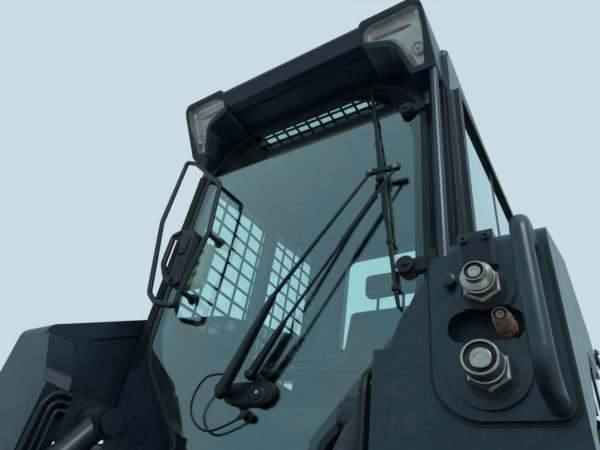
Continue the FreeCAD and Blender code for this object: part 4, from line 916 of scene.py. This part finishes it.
def puffed(obj, voxel, travel):
    """Blows up a cushion a little under its vinyl, each point moving no further than travel."""
    modified(obj, "REMESH", mode="VOXEL", voxel_size=voxel)
    before = [vertex.co.copy() for vertex in obj.data.vertices]
    cloth = obj.modifiers.new("cover", "CLOTH")
    cloth.settings.use_pressure = True
    cloth.settings.uniform_pressure_force = PRESSURE
    cloth.settings.effector_weights.gravity = 0
    cloth.settings.tension_stiffness = 30
    cloth.settings.quality = 4
    for step in range(1, SWELL_FRAMES + 1):
        bpy.context.scene.frame_set(step)
    bpy.ops.object.modifier_apply(modifier=cloth.name)
    for vertex, start in zip(obj.data.vertices, before):
        move = vertex.co - start
        if move.length > travel:
            vertex.co = start + move.normalized() * travel
    bpy.context.scene.frame_set(1)
    finish_piece(obj, "chassis", VINYL, 60)


def leaned(co):
    """Place tipped to the rear with height and drawn in at the shoulders."""
    narrow = 1 - SHOULDER_TAPER * max(0, co.z - SHOULDERS_FROM) / SHOULDER_HEIGHT
    return Vector((co.x * narrow, co.y + (co.z - LEAN_FROM) * LEAN, co.z))


def lean_piece(obj):
    for vertex in obj.data.vertices:
        vertex.co = leaned(vertex.co)
    obj.data.update()


def make_cushion():
    low = SEAT_LOW.x + CUSHION_GAP, SEAT_LOW.y + CUSHION_GAP, SEAT_LOW.z + CUSHION_GAP
    high = SEAT_HIGH.x - CUSHION_GAP, CUSHION_REAR, CUSHION_TOP
    cushion = block("seat_cushion", low, high, 0.030, 4)
    puffed(cushion, 0.008, 0.008)
    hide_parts("seat")


def make_backrest():
    back = block("seat_back", (-0.215, 0.095, 0.985), (0.215, 0.170, 1.545), 0.030, 4)
    lean_piece(back)
    puffed(back, 0.008, 0.008)


def make_headrest():
    rest = block("seat_headrest", (-0.122, 0.175, 1.600), (0.122, 0.240, 1.715), 0.026, 4)
    puffed(rest, 0.006, 0.005)


def make_seat_frame():
    """Shell under the cushion and behind the backrest, with the headrest's stalks."""
    pan = block(
        "seat_pan", (-0.225, -0.235, SEAT_LOW.z), (0.225, 0.165, SEAT_LOW.z + 0.022), 0.006)
    shell = block("seat_shell", (-0.195, 0.158, 0.95), (0.195, 0.176, 1.50), 0.006)
    lean_piece(shell)
    stalks = [
        tube("seat_stalk", [(x, 0.205, 1.50), (x, 0.207, 1.56), (x, 0.208, 1.62)], 0.007)
        for x in (-0.06, 0.06)]
    seat_frame = joined("seat_frame", [pan, shell, *stalks])
    finish_trim(seat_frame, "chassis", 35)


def make_seams():
    """Piping round the cushion's and the backrest's front edges."""
    top = SEAT_LOW.z + 0.094
    x, front, rear = 0.190, -0.205, 0.105
    cushion_seam = tube("seam_cushion", [
        (-x, rear, top), (-x, front + 0.03, top), (-x + 0.03, front, top),
        (x - 0.03, front, top), (x, front + 0.03, top), (x, rear, top)], PIPING_RADIUS)
    face, low, high = 0.093, 1.03, 1.50
    round_back = [
        (-0.17, face, low), (-0.17, face, high - 0.04), (-0.14, face, high),
        (0.14, face, high), (0.17, face, high - 0.04), (0.17, face, low)]
    back_seam = tube("seam_back", [leaned(Vector(p)) for p in round_back], PIPING_RADIUS)
    seams = joined("seat_seams", [cushion_seam, back_seam])
    finish_piece(seams, "chassis", VINYL)


make_cushion()
make_backrest()
make_headrest()
make_seat_frame()
make_seams()

# Gasket round the door's glass and black bands on the side glass

# Width lost at the door's foot and waist, heights of the bends in its sides, radius of its arch
FOOT_CUT = 0.230
WAIST_CUT = 0.042
FOOT_BEND = 0.777
WAIST = 0.975
WAIST_TOP = 1.062
ARCH = 0.27
SIDE_GLASS_FALL = 0.130


def door_outline(grow):
    """Outline of the door's glass, grown all round."""
    half = DOOR_HIGH.x + grow
    foot = half - FOOT_CUT
    top = DOOR_HIGH.z + grow
    low = DOOR_LOW.z - grow
    return rounded([
        (-foot, low, 0.015), (foot, low, 0.015), (foot, FOOT_BEND, 0.025),
        (half - WAIST_CUT, WAIST - grow, 0.06), (half, WAIST_TOP - grow, 0.06),
        (half, top, ARCH + grow), (-half, top, ARCH + grow),
        (-half, WAIST_TOP - grow, 0.06), (-half + WAIST_CUT, WAIST - grow, 0.06),
        (-foot, FOOT_BEND, 0.025)])


def make_door_gasket():
    gasket = band("door_gasket", door_outline(0.001), 0.018, 0.0025)
    modified(gasket, "BEVEL", width=0.001, segments=2, limit_method="ANGLE")
    stand_up(gasket, GLASS_FACE)
    finish_trim(gasket, "door", 50)


def make_side_band(name, side):
    """Raised black frame round the side glass and a band down its middle post."""
    low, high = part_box("side_glass")
    ring = band(name, rounded([
        (low.y, low.z, 0.03), (high.y, low.z, 0.09), (high.y, high.z, 0.03),
        (low.y, high.z - SIDE_GLASS_FALL, 0.03)]), 0.032, 0.014)
    post = plate(name + "_post", [
        (-0.120, low.z + 0.02), (-0.080, low.z + 0.02),
        (-0.080, high.z - 0.075), (-0.120, high.z - 0.082)], 0.0008, 0)
    whole = joined(name, [ring, post])
    stand_sideways(whole, high.x)
    if side < 0:
        whole.data.transform(Matrix.Scale(-1, 4, (1, 0, 0)))
        whole.data.flip_normals()
        whole.data.update()
    finish_trim(whole, "chassis")


make_door_gasket()
for word, side in SIDES:
    make_side_band("side_band_" + word, side)

# Ribs on the cab's front pillars

RIB_FRONT = -0.5955
RIB_BACK = -0.5895


def make_pillar_ribs(name, side):
    ribs = []
    for edges in ((0.484, 0.490), (0.497, 0.503), (0.510, 0.516)):
        x0, x1 = sorted(side * x for x in edges)
        ribs.append(block(name, (x0, RIB_FRONT, 1.00), (x1, RIB_BACK, 1.812), 0.0015))
    whole = joined(name, ribs)
    finish_trim(whole, "chassis", 35)


for word, side in SIDES:
    make_pillar_ribs("pillar_ribs_" + word, side)

# Wiper and washer on the door

WIPER_OUT = GLASS_FACE - 0.030
HUB_X, HUB_Z = 0.036, 0.887
MAIN_TIP = Vector((0.294, WIPER_OUT, 1.489))
SECOND_TIP = Vector((0.370, WIPER_OUT, 1.480))
# x, depth from the glass and z of the washer hose's route
WASHER_HOSE_ROUTE = (
    (0.008, -0.016, 0.839), (-0.036, -0.016, 0.815), (-0.110, -0.018, 0.797),
    (-0.172, -0.024, 0.852), (-0.138, -0.036, 0.926), (-0.076, -0.046, 0.930),
    (-0.038, -0.046, 0.925),
)


def door_piece(name, parts, node, angle=35):
    """Joins parts into one black piece on the door that stands for a node."""
    piece = joined(name, parts)
    finish_trim(piece, "door", angle)
    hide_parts(node)


def front_turned(name, x, z, profile):
    """Turned piece on the door, its axis to the front; profile heights start at the glass."""
    piece = turned(name, profile, 32)
    move_mesh(piece, (x, GLASS_FACE, z), FRONT)
    return piece


def make_wiper_fittings():
    """Turned hub under the arms and the nuts on their pivots."""
    hub = turned("wiper_hub", [
        (0, 0.027), (0.004, 0.027), (0.006, 0.024), (0.006, 0.017), (0.008, 0.015),
        (0.008, 0.006)], 36)
    move_mesh(hub, (HUB_X, GLASS_FACE - 0.015, HUB_Z), FRONT)
    finish_trim(hub, "door", 35)
    nut_y = WIPER_OUT - 0.006
    make_bolts("wiper_nuts", 0.0085, 0.005, [
        (MAIN_TIP.x, nut_y, MAIN_TIP.z), (SECOND_TIP.x, nut_y, SECOND_TIP.z),
        (HUB_X, GLASS_FACE - 0.021, HUB_Z)], FRONT, "door", ZINC)


def make_wiper_arms():
    """Main arm, second arm and the link between their tips."""
    knee = (0.062, GLASS_FACE - 0.062, 1.118)
    head = bar("wiper_head", (-0.060, GLASS_FACE - 0.046, 0.869), knee, [
        (0, 0.018, 0.014), (0.05, 0.028, 0.020), (0.30, 0.027, 0.021),
        (0.9, 0.017, 0.016), (1, 0.013, 0.013)], 0.003)
    rod = bar("wiper_rod", knee, MAIN_TIP, [
        (-0.02, 0.010, 0.009), (0.5, 0.009, 0.008), (1, 0.008, 0.008)], 0.002)
    cap = front_turned("wiper_cap", -0.052, 0.890, [
        (0, 0.017), (0.010, 0.017), (0.012, 0.013), (0.030, 0.013),
        (0.032, 0.018), (0.052, 0.018), (0.058, 0.013)])
    door_piece("wiper_main_arm", [head, rod, cap], "wiper")
    low = (0.016, GLASS_FACE - 0.036, 0.921)
    bend = Vector((0.098, GLASS_FACE - 0.044, 1.050))
    sleeve = bar("wiper_sleeve", low, bend, [
        (-0.06, 0.012, 0.010), (0.04, 0.020, 0.015), (0.85, 0.013, 0.012),
        (1, 0.009, 0.009)], 0.002)
    second = tube("wiper_second_rod", [bend, (bend + SECOND_TIP) / 2, SECOND_TIP], 0.0042)
    grip = bar("wiper_grip", bend.lerp(SECOND_TIP, 0.46), bend.lerp(SECOND_TIP, 0.80), [
        (0, 0.008, 0.008), (0.1, 0.012, 0.011), (0.94, 0.013, 0.012), (1, 0.016, 0.014)], 0.002)
    pivot = front_turned("wiper_second_pivot", 0.016, 0.925, [
        (0, 0.012), (0.016, 0.012), (0.018, 0.0085), (0.026, 0.0085),
        (0.028, 0.0115), (0.044, 0.0115), (0.047, 0.008)])
    door_piece("wiper_second_arm", [sleeve, second, grip, pivot], "wiper")
    link = bar("wiper_link", (0.282, WIPER_OUT, 1.4905), (0.384, WIPER_OUT, 1.4785), [
        (0, 0.014, 0.010), (0.08, 0.020, 0.013), (0.5, 0.012, 0.010),
        (0.92, 0.020, 0.013), (1, 0.014, 0.010)], 0.0015)
    door_piece("wiper_link_bar", [link], "wiper")


def make_wiper_blade():
    """Blade with its rubber lip, claws and the joint that carries it."""
    top = Vector((0.269, GLASS_FACE - 0.012, 1.900))
    foot = Vector((0.375, GLASS_FACE - 0.012, 1.060))
    way = foot - top
    to_glass = Vector((0, 0.0075, 0))
    spine = bar("blade_spine", top, foot, [
        (0, 0.004, 0.006), (0.03, 0.008, 0.009), (0.30, 0.011, 0.012), (0.42, 0.016, 0.015),
        (0.56, 0.016, 0.015), (0.70, 0.011, 0.012), (0.97, 0.008, 0.009),
        (1, 0.004, 0.006)], 0.0015)
    lip = bar("blade_lip", top + to_glass, foot + to_glass, [
        (0.004, 0.006, 0.005), (0.5, 0.0065, 0.005), (0.996, 0.006, 0.005)], 0.001)
    claw = block("blade_claw", (-0.0075, -0.0085, -0.006), (0.0075, 0.0075, 0.006), 0.0015)
    places = [top + way * share for share in (0.06, 0.2, 0.33, 0.65, 0.78, 0.94)]
    claws = stamped("blade_claws", claw, places, way)
    hub = block("blade_hub", (0.311, WIPER_OUT - 0.002, 1.452),
                (0.336, GLASS_FACE - 0.010, 1.500), 0.003)
    joint = bar("blade_joint", top + way * 0.60, top + way * 0.72, [
        (0, 0.014, 0.014), (0.3, 0.018, 0.017), (1, 0.013, 0.013)], 0.002)
    door_piece("wiper_blade", [spine, lip, claws, hub, joint], "wiper")


def make_wiper_base():
    """Base plate with the washer's nozzle and the barb that its hose is pushed on."""
    base = plate("wiper_base", rounded([
        (-0.070, 0.868, 0.016), (0.074, 0.860, 0.028),
        (0.080, 0.918, 0.028), (-0.066, 0.916, 0.016)]), 0.016, 0.003)
    stand_up(base, GLASS_FACE)
    nozzle = front_turned("washer_nozzle", 0.008, 0.839, [
        (0, 0.013), (0.003, 0.013), (0.005, 0.008), (0.018, 0.008), (0.020, 0.010),
        (0.024, 0.009)])
    barb_y = GLASS_FACE - 0.016
    barb = bar("washer_barb", (0.020, barb_y, 0.845), (-0.010, barb_y, 0.831), [
        (0, 0.006, 0.006), (0.4, 0.010, 0.010), (0.6, 0.008, 0.008), (1, 0.009, 0.009)], 0.002)
    door_piece("wiper_base_plate", [base, nozzle, barb], "wiper")


def make_washer_hose():
    """Thin hose from the nozzle round to the second arm's pivot."""
    points = [(x, GLASS_FACE + off, z) for x, off, z in WASHER_HOSE_ROUTE]
    hose = round_curve("washer_hose", points, 0.003, 8)
    apply_place(hose)
    finish_trim(hose, "door")
    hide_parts("wiper")


make_wiper_fittings()
make_wiper_arms()
make_wiper_blade()
make_wiper_base()
make_washer_hose()

# Door's grab loop, handle, latch and hinge bolts

LOOP_Y = -0.668
GRAB_Y = GLASS_FACE - 0.028
LATCH_FACE = -0.599
LATCH_BACK = -0.562


def make_door_loop():
    """Bent tube loop with a leg across its foot and a turned foot at either end."""
    loop = tube("door_grab_loop", bent([
        (-0.306, GLASS_FACE, 1.195), (-0.306, LOOP_Y, 1.195), (-0.309, LOOP_Y, 1.142),
        (-0.401, LOOP_Y, 1.167), (-0.451, LOOP_Y, 1.210), (-0.538, LOOP_Y, 1.525),
        (-0.533, LOOP_Y, 1.838), (-0.470, LOOP_Y, 1.806), (-0.286, LOOP_Y, 1.628),
        (-0.262, LOOP_Y, 1.400), (-0.262, GLASS_FACE, 1.400)], 0.030), 0.009, 4)
    leg = tube("door_loop_leg", [
        (-0.306, LOOP_Y, 1.180), (-0.285, LOOP_Y, 1.295), (-0.263, LOOP_Y, 1.410)], 0.0085, 4)
    feet = []
    for x, z in ((-0.306, 1.195), (-0.262, 1.400)):
        feet.append(front_turned("loop_foot", x, z, [
            (0, 0.018), (0.005, 0.018), (0.007, 0.013), (0.016, 0.0125), (0.017, 0.009)]))
    door_piece("door_grab_loop", [loop, leg, *feet], "door_loop", 40)


def make_door_handle():
    """Handle housing with its bent grab, the lock's barrel and the paddle."""
    housing = plate("handle_housing", rounded([
        (-0.375, 1.250, 0.010), (-0.375, 1.455, 0.012), (-0.388, 1.475, 0.012),
        (-0.478, 1.492, 0.012), (-0.484, 1.462, 0.010), (-0.436, 1.432, 0.010),
        (-0.436, 1.285, 0.012), (-0.425, 1.258, 0.010)], 4), 0.030, 0.004, 3)
    stand_up(housing, GLASS_FACE)
    grab = tube("handle_grab", bent([
        (-0.450, GRAB_Y, 1.476), (-0.486, GRAB_Y, 1.468), (-0.486, GRAB_Y, 1.350),
        (-0.450, GRAB_Y, 1.292), (-0.410, GRAB_Y, 1.268)], 0.026), 0.010, 4)
    lock = front_turned("handle_lock", -0.405, 1.345, [
        (0.030, 0.011), (0.032, 0.011), (0.0335, 0.009), (0.0335, 0.004), (0.032, 0.003)])
    paddle = block("handle_paddle", (-0.425, GLASS_FACE - 0.036, 1.372),
                   (-0.388, GLASS_FACE - 0.029, 1.440), 0.003)
    door_piece("door_handle_unit", [housing, grab, lock, paddle], "door_handle")


def make_latch():
    """Latch inside the glass beside the handle, with three pins."""
    case = block("latch_case", (-0.412, LATCH_FACE, 1.262), (-0.318, LATCH_BACK, 1.420), 0.006, 3)
    finish_piece(case, "door", LATCH)
    pin = turned("latch_pin", [
        (0, 0.010), (0.003, 0.010), (0.005, 0.008), (0.005, 0.004), (0.002, 0.003)], 24)
    places = [(-0.345, LATCH_FACE, z) for z in (1.300, 1.342, 1.386)]
    pins = stamped("latch_pins", pin, places, FRONT)
    finish_trim(pins, "door", 35)


make_door_loop()
make_door_handle()
make_latch()
make_bolts("hinge_bolts", 0.014, 0.006, [
    (0.392, GLASS_FACE - 0.020, z + 0.0405) for z in (1.128, 1.698)],
    FRONT, "door", TRIM)

# Wheel nuts and hub caps

WHEELS = ("wheel_front_left", "wheel_front_right", "wheel_rear_left", "wheel_rear_right")
NUT_CIRCLE = 0.100
NUT_COUNT = 8
DISC_INSET = 0.0178
CAP_OUT = 0.004


def make_wheel_fittings(wheel):
    low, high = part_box(wheel.replace("wheel", "rim"))
    centre = (low + high) / 2
    side = 1 if centre.x > 0 else -1
    out = (side, 0, 0)
    face = centre.x - side * DISC_INSET
    places = []
    for i in range(NUT_COUNT):
        angle = 2 * math.pi * i / NUT_COUNT
        places.append((
            face, centre.y + NUT_CIRCLE * math.cos(angle), centre.z + NUT_CIRCLE * math.sin(angle)))
    make_bolts(wheel + "_nuts", 0.024, 0.016, places, out, wheel, STEEL)
    cap = turned(wheel + "_cap", [(0, 0.040), (0.010, 0.040), (0.018, 0.034), (0.021, 0.020)], 36)
    move_mesh(cap, (centre.x + side * CAP_OUT, centre.y, centre.z), out)
    finish_piece(cap, wheel, RIM, 40)


for wheel in WHEELS:
    make_wheel_fittings(wheel)

# Tyres with rounded shoulders and bevelled lugs

BEAD = 0.2146
LUG_PITCHES = 17
LUG_HEIGHT = 0.026
LUG_FOOT = -0.044
LUG_HALF = 0.042


def make_lug():
    """Tread lug on the XY plane, narrower at its top, its edges rounded."""
    corners = ((-0.016, -LUG_HALF), (0.136, -0.010), (0.136, LUG_HALF), (-0.016, 0.004))
    lug = flat_face("lug", [(x, y, LUG_FOOT) for x, y in corners])
    extrude((0, 0, -LUG_FOOT))
    bpy.ops.transform.resize(value=(0.9, 0.86, 1), center_override=(0.06, 0, 0))
    close_up(0.004)
    return lug


def make_tyre(wheel):
    """Carcass and two rows of lugs, the lugs' corners kept within the tyre's radius."""
    node = wheel.replace("wheel", "tyre")
    low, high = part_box(node)
    centre = (low + high) / 2
    side = 1 if centre.x > 0 else -1
    radius = (high.z - low.z) / 2
    half = (high.x - low.x) / 2
    tread = radius - LUG_HEIGHT
    profile = [
        (-half + 0.043, BEAD), (-half + 0.040, BEAD + 0.012), (-half + 0.036, BEAD + 0.016),
        (-half + 0.012, BEAD + 0.048), (-half + 0.006, BEAD + 0.050), (-half + 0.002, BEAD + 0.080),
        (-half, BEAD + 0.094), (-half + 0.003, BEAD + 0.122), (-half + 0.010, tread - 0.020),
        (-half + 0.024, tread - 0.004), (-half + 0.045, tread),
    ]
    profile += [(-along, around) for along, around in reversed(profile)]
    carcass = turned(node + "_carcass", profile, 72)
    move_mesh(carcass, centre, (side, 0, 0))
    lug = make_lug()
    lugs = []
    lowest = math.asin(LUG_HALF / radius)
    top = math.sqrt(radius ** 2 - LUG_HALF ** 2) - 0.0005
    for row in (1, -1):
        for i in range(LUG_PITCHES):
            angle = 2 * math.pi * (i + (0.5 if row < 0 else 0)) / LUG_PITCHES + lowest
            across = Vector((side * row, 0, 0))
            outward = Vector((0, math.sin(angle), -math.cos(angle)))
            along = Vector((0, math.cos(angle), math.sin(angle)))
            turn = Matrix((across, along, outward)).transposed().to_4x4()
            copy = copied(lug)
            if turn.determinant() < 0:
                copy.data.flip_normals()
            copy.data.transform(Matrix.Translation(centre + outward * top) @ turn)
            copy.data.update()
            lugs.append(copy)
    bpy.data.objects.remove(lug)
    tyre = joined(node + "_tread", [carcass, *lugs])
    finish_piece(tyre, wheel, RUBBER, 35)
    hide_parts(node)


for wheel in WHEELS:
    make_tyre(wheel)

# Bolts on the arms' pivots, the cutting edge, the roof and the visor

PIVOT_FACE, PIVOT_Y, PIVOT_Z = 0.716, 1.18, 1.64
PIVOT_CIRCLE = 0.034
PIVOT_ANGLES = (math.pi / 2, math.pi * 7 / 6, math.pi * 11 / 6)

for word, side in SIDES:
    places = []
    for angle in PIVOT_ANGLES:
        places.append((side * PIVOT_FACE, PIVOT_Y + PIVOT_CIRCLE * math.cos(angle),
                       PIVOT_Z + PIVOT_CIRCLE * math.sin(angle)))
    make_bolts(
        "pivot_bolts_" + word, 0.019, 0.009, places, (side, 0, 0), "chassis", STEEL)
make_bolts("edge_bolts", 0.026, 0.009, [
    (x / 1000, EDGE_LOW.y + 0.115, EDGE_LOW.z + 0.020) for x in range(-840, 841, 210)],
    UP, "bucket", STEEL)
make_bolts("roof_screws", 0.012, 0.005, [
    (x, y, ROOF_TOP) for x in (0.5, -0.5) for y in (-0.5, -0.1, 0.3)],
    UP, "chassis", BLACK)
make_bolts("visor_screws", 0.011, 0.004, [
    (x, -0.70, VISOR_TOP - 0.0505) for x in (-0.22, 0, 0.22)],
    DOWN, "chassis", TRIM)
